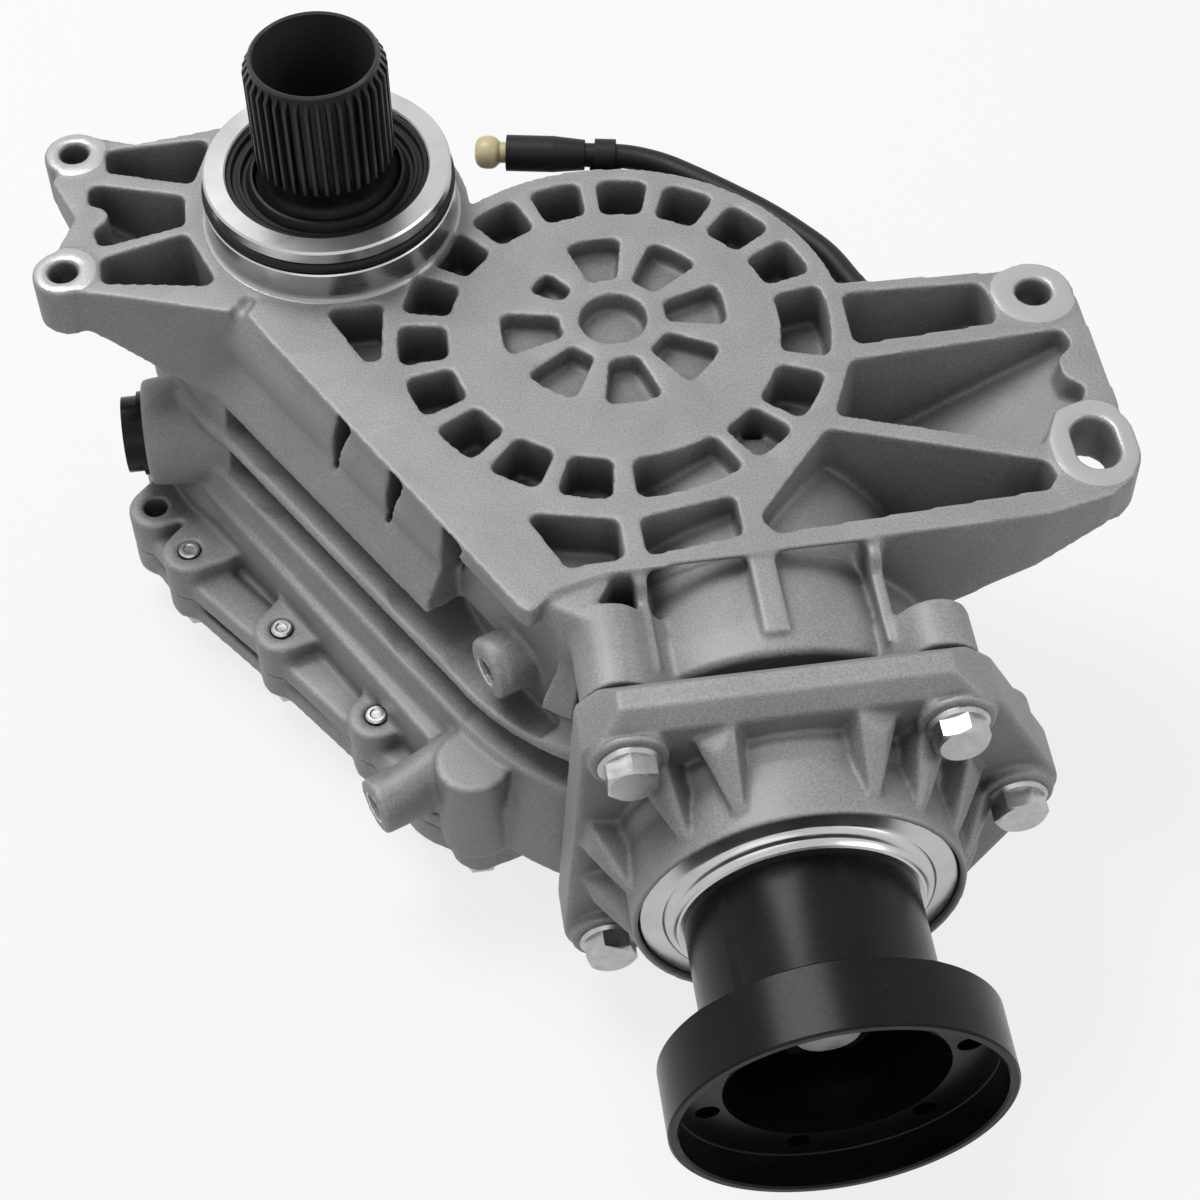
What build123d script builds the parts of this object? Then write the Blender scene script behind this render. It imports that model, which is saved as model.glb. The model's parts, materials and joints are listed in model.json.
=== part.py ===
"""Right-angle transfer case with a splined input sleeve and a cup-shaped output flange.

Frame: millimetres, +Z up. The origin is on the input axis, in the plane of the cast deck.
The input and intermediate shafts stand upright, and the output shaft runs out along -Y.
"""
import os
from math import atan2, cos, degrees, hypot, pi, radians, sin, tan

from build123d import *

# Shaft centres
ring_x, ring_y = 93.5, -67.4
output_x, output_z = 126.0, -70.0
shaft_spacing = hypot(ring_x, ring_y)

# Levels of the casting, measured from the deck
deck_thickness = 14.0
roof_z = -26.0
flange_top_z = -110.0
split_z = -128.0
cover_flange_thickness = 13.0
cover_floor_z = -158.0
cover_wall = 6.0
case_wall = 7.0

# Input pilot, seal seat and bearing seats
collar_radius = 50.0
pilot_radius, pilot_foot_radius, pilot_foot_z = 45.4, 46.6, -5.0
pilot_top_z = 22.7
pilot_nose_radius = 44.4
o_ring_groove_low, o_ring_groove_high = 13.0, 17.5
o_ring_groove_radius = 41.6
seal_seat_radius = 36.3
seal_seat_depth = 14.0

# Input sleeve
sleeve_radius = 25.0
sleeve_bore_radius = 21.1
sleeve_top_z = 74.2
sleeve_spline_teeth = 40
sleeve_spline_high, sleeve_spline_low = 68.5, 30.0
sleeve_spline_depth = 2.0
sleeve_journal_radius = 27.5
seal_journal_radius = 26.6

# Gear train
input_teeth, driven_teeth = 46, 38
spur_low_z, spur_high_z = -122.0, -96.0
ring_teeth, pinion_teeth = 37, 14
ring_tooth_inner_y, ring_tooth_outer_y = 49.0, 63.0
ring_outer_radius, ring_bore_radius = 75.0, 38.0
ring_back_z = -36.7
gear_tooth_backlash = 0.88

# Bearings: bore radius, outer radius, width
bearing_clearance = 0.05
shaft_bearing_bore, shaft_bearing_outer, shaft_bearing_width = 15.0, 31.0, 14.0
input_bearing_outer, input_bearing_width = 42.5, 16.0
pinion_inner_bore, pinion_inner_outer, pinion_inner_width = 20.0, 40.0, 23.0
pinion_outer_bore, pinion_outer_outer, pinion_outer_width = 17.5, 36.0, 18.0
input_upper_bearing_z = -18.0
input_lower_bearing_z = -142.0
shaft_upper_bearing_z = -28.0
shaft_lower_bearing_z = -140.0

# Pinion housing and output flange, as distances along -Y
neck_face_y = -216.0
housing_seat_y = -222.5
housing_face_y = -245.5
housing_nose_y = -271.0
housing_bolt_circle_radius = 77.5
housing_bolt_angles = (132.8, 47.7, 7.1, 300.0, 219.7)
housing_spigot_radius = 50.0
housing_spigot_end_y = -148.0
housing_groove_start, housing_groove_radius = 180.0, 46.4
nose_radius = 55.5
neck_radius = 60.0
output_tube_radius = 39.0
output_cup_radius = 55.4
output_cup_back_y, output_face_y = -321.6, -345.3
output_rim_bore_radius = 47.5
output_bolt_circle_radius = 42.4
output_bolt_count = 6

register_radius, register_back_y = 54.0, -213.5

running_clearance = 0.06
seat_clearance = 0.02


def along_axis(origin, along):
    """Half plane for turned pieces: its x is the radius and its y runs along the axis."""
    direction = Vector(*along)
    return Plane(origin=origin, x_dir=(1, 0, 0), z_dir=Vector(1, 0, 0).cross(direction))


def turned(origin, along, profile):
    """A turned piece from its half section, given as (radius, distance) pairs."""
    with BuildPart() as piece:
        with BuildSketch(along_axis(origin, along)):
            with BuildLine():
                Polyline(*profile, close=True)
            make_face()
        revolve(axis=Axis(origin, along))
    return piece


def ring(origin, along, inner, outer, start, end, edge=0.0):
    """A plain turned ring between two distances along its axis, with chamfered outer edges."""
    low, high = min(start, end), max(start, end)
    if edge == 0.0:
        return turned(origin, along, [(inner, low), (outer, low), (outer, high), (inner, high)])
    return turned(origin, along, [(inner, low), (outer - edge, low), (outer, low + edge),
                                  (outer, high - edge), (outer - edge, high), (inner, high)])


def polar(radius, angle, centre=(0.0, 0.0)):
    """Point at a radius and an angle in degrees around a centre."""
    return (centre[0] + radius * cos(radians(angle)), centre[1] + radius * sin(radians(angle)))


def save(part, name):
    part.label = name
    export_step(part, "parts/" + name + ".step")


UP = (0, 0, 1)
OUT = (0, -1, 0)
input_origin = (0, 0, 0)
shaft_origin = (ring_x, ring_y, 0)
output_origin = (output_x, 0, output_z)
os.makedirs("parts", exist_ok=True)

# Outline data of the deck, read off the face of the casting
disc_centre = (93.0, -73.5)
disc_radius = 82.0
pocket_inner_radius, pocket_outer_radius = 58.5, 75.5
pocket_corner = 3.0
pocket_first_angle, pocket_pitch, pocket_span, narrow_pockets = 21.6, 19.4, 14.2, 13
wide_pockets = ((-3.9, 26.0), (-31.9, 17.0), (-51.5, 13.5), (-77.5, 29.0))
pocket_depth = 19.0
hub_pocket_inner, hub_pocket_outer, hub_pocket_span = 19.0, 39.5, 29.0
hub_pocket_first_angle, hub_pocket_pitch, hub_pockets = 93.0, 45.0, 7
hub_pocket_depth = 8.5
hub_recess_radius = 11.8

left_boss_radius, left_boss_hole = 11.2, 5.25
left_bosses = ((-92.5, 44.0), (-97.5, -17.0))
right_boss_radius, right_boss_hole = 14.5, 6.25
right_boss = (242.0, -76.5)
slot_boss = (246.0, -148.0)
slot_length = 8.0
slot_hole_radius = 7.25
boss_height = 21.5
boss_stand = 0.8
arm_root_depth = 52.0
arm_tip_depth = 20.0
arm_floor = 6.0


def sector(centre, inner, outer, middle, span):
    """Ring sector with straight radial sides."""
    with BuildSketch() as outline:
        with BuildLine():
            near = CenterArc(centre, inner, middle - span / 2, span)
            far = CenterArc(centre, outer, middle - span / 2, span)
            Line(near @ 0, far @ 0)
            Line(near @ 1, far @ 1)
        make_face()
    return outline.sketch


def cast_pocket(points, depth, corner=pocket_corner):
    """Open pocket let down from the deck, with rounded corners."""
    with BuildSketch(Plane.XY.offset(boss_stand)) as outline:
        with BuildLine():
            Polyline(*points, close=True)
        make_face()
        fillet(outline.vertices(), radius=corner)
    extrude(amount=-(depth + boss_stand), mode=Mode.SUBTRACT)


def arm(outline, tip_x, root_x):
    """Solid of one mounting arm, deep at its root and shallow at its tip."""
    with BuildPart() as solid:
        with BuildSketch(Plane.XY):
            with BuildLine():
                Polyline(*outline, close=True)
            make_face()
        extrude(amount=-arm_root_depth)
        rise = (arm_root_depth - arm_tip_depth) / (tip_x - root_x)
        low = Plane(origin=(root_x, 0, -arm_root_depth), x_dir=(0, 1, 0), z_dir=(-rise, 0, 1))
        split(bisect_by=low, keep=Keep.TOP)
    return solid.part


def arm_pocket(points, tip_x, root_x, corner=pocket_corner):
    """Open pocket of an arm, whose floor slopes with the underside."""
    with BuildPart() as solid:
        with BuildSketch(Plane.XY.offset(boss_stand)) as outline:
            with BuildLine():
                Polyline(*points, close=True)
            make_face()
            fillet(outline.vertices(), radius=corner)
        extrude(amount=-arm_root_depth)
        rise = (arm_root_depth - arm_tip_depth) / (tip_x - root_x)
        low = Plane(origin=(root_x, 0, arm_floor - arm_root_depth), x_dir=(0, 1, 0), z_dir=(-rise, 0, 1))
        split(bisect_by=low, keep=Keep.TOP)
    return solid.part


# Side wall: u is the distance from the origin towards the lower left
side_direction = Vector(0.52, -0.854, 0).normalized()
side_normal = Vector(side_direction.Y, -side_direction.X, 0)
side_origin = Vector(0, 0, 0) + side_normal * 56.0
side_start, side_end = 14.0, 162.0
side_turn_radius, side_turn_angle = 100.0, 27.0
fin_thickness = 5.0
fin_root_u = 58.0
fins = ((66.0, -39.0), (68.0, -61.0), (70.0, -82.0))

# Closed outline that the split flange, the cover and the cavity share
corner_post = (26.0, -165.0)
input_cavity_radius, ring_cavity_radius, corner_cavity_radius = 67.5, 78.0, 8.0
flange_reach = 13.0
lug_radius = 10.5
visible_bolts = ((-69.0, -60.5), (-36.5, -103.0), (-5.0, -147.0), (27.0, -189.0))
front_bolt, back_bolt = (82.0, -172.5), (93.0, 43.8)
hidden_ring_bolts = (-47.0, -20.0, 12.0, 48.0)
hidden_input_bolts = (62.0, 92.0, 118.0, 145.0)
cover_bolt_radius = 4.0
ear_centre, ear_hole_radius = (-81.0, -37.0), 4.6
cover_bolts_xy = (
    list(visible_bolts) + [front_bolt, back_bolt]
    + [polar(ring_cavity_radius + case_wall + lug_radius, a, (ring_x, ring_y)) for a in hidden_ring_bolts]
    + [polar(input_cavity_radius + case_wall + lug_radius, a) for a in hidden_input_bolts]
)


def shared_outline(extra):
    """Hull round the input gear, the ring gear and the front corner, grown by a wall."""
    with BuildSketch() as outline:
        Circle(input_cavity_radius + extra)
        with Locations((ring_x, ring_y)):
            Circle(ring_cavity_radius + extra)
        with Locations(corner_post):
            Circle(corner_cavity_radius + extra)
        make_hull()
    return outline.sketch


def side_profile():
    """Section of the finned side wall: roll, shelf, three fins and the swell below."""
    inner_u, roll_u, roll_low_z, swell_u = 20.0, 58.5, -24.0, 76.0
    with BuildSketch() as section:
        with BuildLine():
            Polyline((swell_u, split_z), (inner_u, split_z), (inner_u, -2.0), (54.0, -2.0))
            ThreePointArc((54.0, -2.0), (58.6, -12.0), (roll_u, roll_low_z))
            points = [(roll_u, roll_low_z), fins[0]]
            for k, (tip_u, top_z) in enumerate(fins):
                points.append((tip_u + 0.5, top_z - fin_thickness))
                if k < len(fins) - 1:
                    points.append((fin_root_u, top_z - fin_thickness - 1.0))
                    points.append((fin_root_u, fins[k + 1][1] + 2.0))
                    points.append(fins[k + 1])
            points += [(swell_u, flange_top_z + 6.0), (swell_u, split_z)]
            Polyline(*points)
        make_face()
    return section.sketch


def section_plane(distance):
    """Plane across the side wall at a distance along it."""
    return Plane(origin=side_direction * distance, x_dir=side_normal, z_dir=side_direction * -1)


# Left and right arms
left_arm_outline = ((-90.0, 54.5), (-70.0, 46.5), (-30.0, 52.0), (0.0, 0.0), (-40.0, -45.0),
                    (-84.0, -30.0), (-96.0, -27.0), (-100.0, -6.0), (-93.0, 10.0), (-101.0, 30.0))
left_pockets = (
    ((-81.0, 44.0), (-42.0, 45.0), (-50.0, 22.0), (-81.0, 33.0)),
    ((-87.0, 27.0), (-53.0, 16.0), (-53.5, 1.0), (-85.0, -6.0), (-86.0, 3.0), (-81.0, 7.0), (-81.0, 13.0), (-88.0, 17.0)),
    ((-84.0, -12.0), (-53.0, -3.5), (-43.0, -31.0), (-84.0, -24.0)),
)
right_arm_outline = ((150.0, -40.0), (172.0, -61.5), (228.0, -64.0), (250.0, -66.0), (257.0, -82.0),
                     (258.5, -130.0), (256.0, -164.0), (246.0, -171.0), (222.0, -176.0), (110.0, -178.5),
                     (110.0, -60.0))
right_pockets = (
    ((175.0, -67.0), (224.0, -69.0), (226.0, -76.0), (226.0, -88.5), (175.0, -91.5)),
    ((172.0, -99.0), (248.0, -95.0), (249.0, -103.0), (243.0, -108.0), (243.0, -117.0), (249.0, -122.0),
     (247.0, -128.0), (236.0, -131.0), (229.0, -146.0), (162.0, -122.5)),
    ((158.0, -128.5), (228.0, -153.0), (230.0, -160.0), (226.0, -165.0), (133.0, -170.5), (129.0, -163.0),
     (143.0, -146.0)),
)
left_arm_tip_x, left_arm_root_x = -92.0, -46.0
right_arm_tip_x, right_arm_root_x = 238.0, 176.0
deck_outline = ((-34.0, -47.0), (-29.0, -57.0), (45.0, -188.5), (49.0, -192.0), (58.0, -184.0),
                (74.0, -180.0), (110.0, -178.5), (150.0, -100.0), (93.0, 0.0), (35.0, -35.0), (0.0, 0.0))
corner_pockets = (
    ((-6.5, -48.5), (14.0, -48.5), (11.0, -75.0), (5.5, -75.0)),
    ((52.0, -150.5), (82.0, -157.5), (82.0, -173.5), (63.0, -175.0)),
    ((89.5, -158.0), (122.0, -153.0), (122.0, -169.5), (90.0, -173.5)),
)

left_arm = arm(left_arm_outline, left_arm_tip_x, left_arm_root_x)
right_arm = arm(right_arm_outline, right_arm_tip_x, right_arm_root_x)
left_pocket_tools = [arm_pocket(p, left_arm_tip_x, left_arm_root_x) for p in left_pockets]
right_pocket_tools = [arm_pocket(p, right_arm_tip_x, right_arm_root_x) for p in right_pockets]

housing_bolts_xz = [polar(housing_bolt_circle_radius, a, (output_x, output_z)) for a in housing_bolt_angles]
front_plane = Plane(origin=(0, 0, 0), x_dir=(1, 0, 0), z_dir=(0, -1, 0))


def front_offset(y):
    """Upright plane facing the output side at a given y; its x is x and its y is z."""
    return front_plane.offset(-y)


side_section = side_profile()


# Breather line behind the disc
vent_angle, vent_z, vent_seat_radius, vent_reach = 12.0, -24.0, 87.0, 97.0
vent_boss_radius, vent_thread_radius = 8.5, 4.0
vent_out = (cos(radians(vent_angle)), sin(radians(vent_angle)), 0)
vent_seat = (*polar(vent_seat_radius, vent_angle, (ring_x, ring_y)), vent_z)
vent_plane = Plane(origin=vent_seat, x_dir=UP, z_dir=vent_out)
clip_place = (105.7, 40.2)
clip_boss_radius, clip_boss_reach, clip_boss_low_z, clip_boss_top_z = 8.0, 92.0, -62.0, -31.0
clip_angle = degrees(atan2(clip_place[1] - ring_y, clip_place[0] - ring_x))
clip_boss = polar(clip_boss_reach, clip_angle, (ring_x, ring_y))
clip_screw_radius = 3.0

# Dowels between case and cover
dowel_radius, dowel_length = 3.5, 14.0
dowels = (polar(90.5, 30.0, (ring_x, ring_y)), polar(80.0, 105.0))

# Main case
gear_roof_z, drum_roof_z, hub_roof_z = -93.5, -32.0, -20.0
hub_roof_radius = 54.0
bearing_boss_z = -28.6
upper_throat_radius = 44.0
drum_top_z = -30.0
input_body_profile = ((0.0, 0.0), (collar_radius, 0.0), (collar_radius, -14.0), (54.0, -28.0), (66.0, -50.0),
                      (68.0, -88.0), (input_cavity_radius + case_wall, -98.0),
                      (input_cavity_radius + case_wall, split_z), (0.0, split_z))
front_block = ((66.0, -100.0), (66.0, -178.0), (186.0, -176.0), (190.0, -100.0))
front_block_low_z = -105.0
front_window_back_y = -160.0
front_windows = ((88.5, 122.5), (131.5, 160.5))
front_window_high_z, front_window_low_z = -2.0, -26.0
front_ribs = ((86.0, 4.5), (127.0, 6.5), (164.0, 4.5))
lug_radius_front = 12.5
lug_back_y = (-190.0, -204.0, -208.0, -204.0, -204.0)
plug_boss_radius, plug_boss_face_x, plug_boss_y, plug_boss_z = 20.0, -80.0, -22.0, -84.0
plug_thread_radius = 9.0
side_bosses = ((34.0, -181.5, -43.5), (-9.0, -190.0, -105.0))
side_boss_radius, side_boss_hole, side_boss_depth = 10.5, 4.4, 20.0
side_boss_length, side_boss_turn = 38.0, 22.0
spot_face_depth = 20.0
post_top_z, post_radius = -84.0, 13.5
bolt_tap_radius = 3.4
notches = ((80.0, 8.5), (111.0, 8.5), (142.0, 11.0))
notch_depth_z = 22.0

with BuildPart() as main_case:
    with BuildSketch(Plane.XY):
        with BuildLine():
            Polyline(*deck_outline, close=True)
        make_face()
        with Locations(disc_centre):
            Circle(disc_radius)
    extrude(amount=roof_z - 4.0)
    with BuildSketch(along_axis(input_origin, UP)):
        with BuildLine():
            Polyline(*input_body_profile, close=True)
        make_face()
    revolve(axis=Axis.Z)
    with BuildSketch(Plane.XY.offset(split_z)):
        add(shared_outline(case_wall))
    extrude(amount=gear_roof_z - split_z)
    with BuildSketch(Plane.XY.offset(gear_roof_z)):
        with Locations((ring_x, ring_y)):
            Circle(ring_cavity_radius + case_wall)
        Circle(upper_throat_radius + case_wall)
        make_hull()
    extrude(amount=-50.0 - gear_roof_z)
    with BuildSketch(Plane.XY.offset(gear_roof_z)):
        with Locations((ring_x, ring_y)):
            Circle(ring_cavity_radius + case_wall)
    extrude(amount=drum_top_z - gear_roof_z)
    with BuildSketch(Plane.XY.offset(drum_top_z)):
        with BuildLine():
            Polyline(*front_block, close=True)
        make_face()
    extrude(amount=front_block_low_z - drum_top_z)
    with BuildSketch(section_plane(side_start)):
        add(side_section)
    extrude(amount=-(side_end - side_start))
    turn_centre = side_direction * side_end + side_normal * (fins[0][0] - side_turn_radius)
    with BuildSketch(section_plane(side_end)):
        add(side_section)
    revolve(axis=Axis(turn_centre, UP), revolution_arc=side_turn_angle)
    with BuildSketch(section_plane(side_start)):
        add(side_section)
    revolve(axis=Axis(input_origin, UP), revolution_arc=-24.0)
    add(left_arm)
    add(right_arm)
    with BuildSketch(Plane.XY.offset(boss_stand)):
        with Locations(*left_bosses):
            Circle(left_boss_radius)
        with Locations(right_boss):
            Circle(right_boss_radius)
        with Locations(slot_boss):
            SlotCenterToCenter(slot_length, 2 * right_boss_radius, rotation=90)
    extrude(amount=-boss_height)
    # Pockets in the deck
    with BuildSketch(Plane.XY.offset(boss_stand)) as ring_pockets:
        for k in range(narrow_pockets):
            add(sector(disc_centre, pocket_inner_radius, pocket_outer_radius,
                       pocket_first_angle + k * pocket_pitch, pocket_span))
        for middle, span in wide_pockets:
            add(sector(disc_centre, pocket_inner_radius, pocket_outer_radius, middle, span))
        fillet(ring_pockets.vertices(), radius=pocket_corner)
    extrude(amount=-(pocket_depth + boss_stand), mode=Mode.SUBTRACT)
    with BuildSketch(Plane.XY.offset(boss_stand)) as hub_pocket_outlines:
        for k in range(hub_pockets):
            add(sector((ring_x, ring_y), hub_pocket_inner, hub_pocket_outer,
                       hub_pocket_first_angle - k * hub_pocket_pitch, hub_pocket_span))
        add(sector((ring_x, ring_y), hub_pocket_inner + 1.0, hub_pocket_outer - 7.0,
                   hub_pocket_first_angle + hub_pocket_pitch, 19.0))
        fillet(hub_pocket_outlines.vertices(), radius=2.5)
        with Locations((ring_x, ring_y)):
            Circle(hub_recess_radius)
    extrude(amount=-(hub_pocket_depth + boss_stand), mode=Mode.SUBTRACT)
    for tool in left_pocket_tools + right_pocket_tools:
        add(tool, mode=Mode.SUBTRACT)
    with BuildSketch(Plane.XY.offset(boss_stand)) as corner_outlines:
        for points in corner_pockets:
            Polygon(*points, align=None)
        fillet(corner_outlines.vertices(), radius=2.0)
    extrude(amount=-(pocket_depth + boss_stand), mode=Mode.SUBTRACT)
    # Front windows under the deck and notches in the side wall
    for left_x, right_x in front_windows:
        with BuildSketch(front_offset(front_window_back_y)):
            with Locations(((left_x + right_x) / 2, (front_window_high_z + front_window_low_z) / 2)):
                RectangleRounded(right_x - left_x, front_window_high_z - front_window_low_z, 4.0)
            with Locations((output_x, output_z)):
                Circle(neck_radius, mode=Mode.SUBTRACT)
        extrude(amount=-(neck_face_y - front_window_back_y), mode=Mode.SUBTRACT)
    for distance, width in notches:
        start = side_direction * distance + side_normal * 44.0
        with BuildSketch(Plane(origin=start, x_dir=side_direction, z_dir=side_normal)):
            Polygon((0.0, -1.5), (width, -1.5), (-1.0, -notch_depth_z), (-1.5, -notch_depth_z), align=None)
        extrude(amount=20.0, mode=Mode.SUBTRACT)
    # Neck for the output shaft, its ribs and the lugs that take the housing
    with BuildSketch(front_offset(-120.0)):
        with Locations((output_x, output_z)):
            Circle(neck_radius)
    extrude(amount=-(neck_face_y + 120.0))
    for rib_x, rib_width in front_ribs:
        with BuildSketch(Plane.YZ.offset(rib_x - rib_width / 2)):
            with BuildLine():
                Polyline((-170.0, -2.0), (-182.0, -2.0), (-186.0, -8.0), (neck_face_y + 2.0, -8.0),
                         (neck_face_y + 2.0, -40.0), (-170.0, -40.0), close=True)
            make_face()
        extrude(amount=rib_width)
    for bolt, back_y in zip(housing_bolts_xz, lug_back_y):
        inward = polar(44.0, degrees(atan2(bolt[1] - output_z, bolt[0] - output_x)), (output_x, output_z))
        with BuildSketch(front_offset(back_y)):
            with Locations(bolt):
                Circle(lug_radius_front)
            with Locations(inward):
                Circle(15.0)
            make_hull()
        extrude(amount=-(housing_seat_y - back_y))
    # Bosses for the breather and for the clip of its hose
    with BuildSketch(vent_plane):
        Circle(vent_boss_radius)
    extrude(amount=-14.0)
    with BuildSketch(Plane.XY.offset(clip_boss_low_z)):
        with Locations(clip_boss):
            Circle(clip_boss_radius)
    extrude(amount=clip_boss_top_z - clip_boss_low_z)
    # Bosses on the side: fill plug, tapped bosses and the front post
    with BuildSketch(Plane.YZ.offset(plug_boss_face_x)):
        with Locations((plug_boss_y, plug_boss_z)):
            Circle(plug_boss_radius)
    extrude(amount=30.0, taper=-6)
    for boss_x, boss_y, boss_z in side_bosses:
        inward = Vector(cos(radians(side_boss_turn)), sin(radians(side_boss_turn)), 0)
        with BuildSketch(Plane(origin=(boss_x, boss_y, boss_z), x_dir=UP, z_dir=inward)):
            Circle(side_boss_radius)
        extrude(amount=side_boss_length)
    with BuildSketch(Plane.XY.offset(split_z)):
        with Locations(visible_bolts[-1]):
            Circle(post_radius)
    extrude(amount=post_top_z - split_z)
    # Split flange with its lugs
    with BuildSketch(Plane.XY.offset(split_z)):
        add(shared_outline(case_wall + flange_reach - 2.0))
    extrude(amount=8.0)
    with BuildSketch(Plane.XY.offset(split_z)):
        with Locations(*cover_bolts_xy, ear_centre):
            Circle(lug_radius)
    extrude(amount=flange_top_z - split_z)
    split(bisect_by=Plane.XY.offset(split_z), keep=Keep.TOP)
    # Pilot with its seal groove
    with BuildSketch(along_axis(input_origin, UP)):
        with BuildLine():
            Polyline((0.0, pilot_foot_z), (pilot_foot_radius, pilot_foot_z), (pilot_foot_radius, 0.0),
                     (pilot_radius, 0.0), (pilot_radius, o_ring_groove_low),
                     (o_ring_groove_radius, o_ring_groove_low), (o_ring_groove_radius, o_ring_groove_high),
                     (pilot_nose_radius, o_ring_groove_high), (pilot_nose_radius, pilot_top_z - 2.0),
                     (pilot_nose_radius - 2.0, pilot_top_z), (0.0, pilot_top_z), close=True)
        make_face()
    revolve(axis=Axis.Z)
    # Cavity for the gear train, neck bore and input bore
    with BuildSketch(Plane.XY.offset(split_z)):
        add(shared_outline(0.0))
    extrude(amount=gear_roof_z - split_z, mode=Mode.SUBTRACT)
    with BuildSketch(Plane.XY.offset(gear_roof_z)):
        with Locations((ring_x, ring_y)):
            Circle(ring_cavity_radius)
        Circle(upper_throat_radius)
        make_hull()
    extrude(amount=-50.0 - gear_roof_z - case_wall, mode=Mode.SUBTRACT)
    with BuildSketch(Plane.XY.offset(gear_roof_z)):
        with Locations((ring_x, ring_y)):
            Circle(ring_cavity_radius)
    extrude(amount=drum_roof_z - gear_roof_z, mode=Mode.SUBTRACT)
    with BuildSketch(Plane.XY.offset(drum_roof_z)):
        with Locations((ring_x, ring_y)):
            Circle(hub_roof_radius)
    extrude(amount=bearing_boss_z - drum_roof_z, mode=Mode.SUBTRACT)
    with BuildSketch(Plane.XY.offset(bearing_boss_z)):
        with Locations((ring_x, ring_y)):
            Circle(hub_roof_radius)
            Circle(shaft_bearing_outer + 6.0, mode=Mode.SUBTRACT)
    extrude(amount=hub_roof_z - bearing_boss_z, mode=Mode.SUBTRACT)
    with BuildSketch(Plane.XY.offset(drum_roof_z)):
        with Locations((ring_x, ring_y)):
            Circle(shaft_bearing_outer + seat_clearance)
    extrude(amount=-deck_thickness - drum_roof_z, mode=Mode.SUBTRACT)
    with BuildSketch(along_axis(input_origin, UP)):
        with BuildLine():
            Polyline((0.0, -60.0), (upper_throat_radius, -60.0), (upper_throat_radius, -24.0),
                     (input_bearing_outer + seat_clearance, -22.0),
                     (input_bearing_outer + seat_clearance, input_upper_bearing_z + input_bearing_width),
                     (33.0, input_upper_bearing_z + input_bearing_width), (33.0, pilot_top_z - seal_seat_depth),
                     (seal_seat_radius, pilot_top_z - seal_seat_depth), (seal_seat_radius, pilot_top_z),
                     (0.0, pilot_top_z), close=True)
        make_face()
    revolve(axis=Axis.Z, mode=Mode.SUBTRACT)
    with BuildSketch(front_offset(-105.0)):
        with Locations((output_x, output_z)):
            Circle(housing_spigot_radius + seat_clearance)
    extrude(amount=-(housing_seat_y + 105.0), mode=Mode.SUBTRACT)
    with BuildSketch(front_offset(register_back_y)):
        with Locations((output_x, output_z)):
            Circle(register_radius + 0.3)
    extrude(amount=register_back_y - housing_seat_y, mode=Mode.SUBTRACT)
    with BuildSketch(vent_plane):
        Circle(vent_thread_radius)
    extrude(amount=-12.0, mode=Mode.SUBTRACT)
    # Drilled and tapped holes
    with BuildSketch(Plane.XY.offset(boss_stand)):
        with Locations(*left_bosses):
            Circle(left_boss_hole)
        with Locations(right_boss):
            Circle(right_boss_hole)
        with Locations(slot_boss):
            SlotCenterToCenter(slot_length, 2 * slot_hole_radius, rotation=90)
    extrude(amount=-boss_height - 40.0, mode=Mode.SUBTRACT)
    with BuildSketch(Plane.XY.offset(split_z)):
        with Locations(*cover_bolts_xy):
            Circle(cover_bolt_radius)
        with Locations(ear_centre):
            Circle(ear_hole_radius)
    extrude(amount=flange_top_z - split_z, mode=Mode.SUBTRACT)
    with BuildSketch(Plane.XY.offset(split_z)):
        with Locations(*dowels):
            Circle(dowel_radius)
    extrude(amount=dowel_length / 2, mode=Mode.SUBTRACT)
    with BuildSketch(Plane.XY.offset(clip_boss_top_z)):
        with Locations(clip_boss):
            Circle(clip_screw_radius)
    extrude(amount=-14.0, mode=Mode.SUBTRACT)
    with BuildSketch(front_offset(housing_seat_y + 16.0)):
        with Locations(*housing_bolts_xz):
            Circle(5.0)
    extrude(amount=16.0, mode=Mode.SUBTRACT)
    with BuildSketch(Plane.YZ.offset(plug_boss_face_x)):
        with Locations((plug_boss_y, plug_boss_z)):
            Circle(plug_thread_radius)
    extrude(amount=25.0, mode=Mode.SUBTRACT)
    for boss_x, boss_y, boss_z in side_bosses:
        inward = Vector(cos(radians(side_boss_turn)), sin(radians(side_boss_turn)), 0)
        with BuildSketch(Plane(origin=(boss_x, boss_y, boss_z), x_dir=UP, z_dir=inward)):
            Circle(side_boss_hole)
        extrude(amount=side_boss_depth, mode=Mode.SUBTRACT)
        with BuildSketch(Plane(origin=(boss_x, boss_y, boss_z), x_dir=UP, z_dir=inward)):
            Circle(side_boss_radius)
        extrude(amount=-spot_face_depth, mode=Mode.SUBTRACT)
save(main_case.part, "main_case")


def hex_screws(plane, places, thread_radius, length, across_flats, head_height, washer_radius=0.0):
    """Hexagon screws whose heads stand on a plane, as one group of solids."""
    with BuildPart() as screws:
        with BuildSketch(plane):
            with Locations(*places):
                Circle(thread_radius)
        extrude(amount=-length)
        with BuildSketch(plane):
            with Locations(*places):
                if washer_radius:
                    Circle(washer_radius)
                else:
                    Circle(across_flats / 2)
        extrude(amount=1.4)
        with BuildSketch(plane.offset(1.4)):
            with Locations(*places):
                RegularPolygon(across_flats / 2, 6, major_radius=False)
        extrude(amount=head_height - 1.4)
    return screws.part


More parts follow.
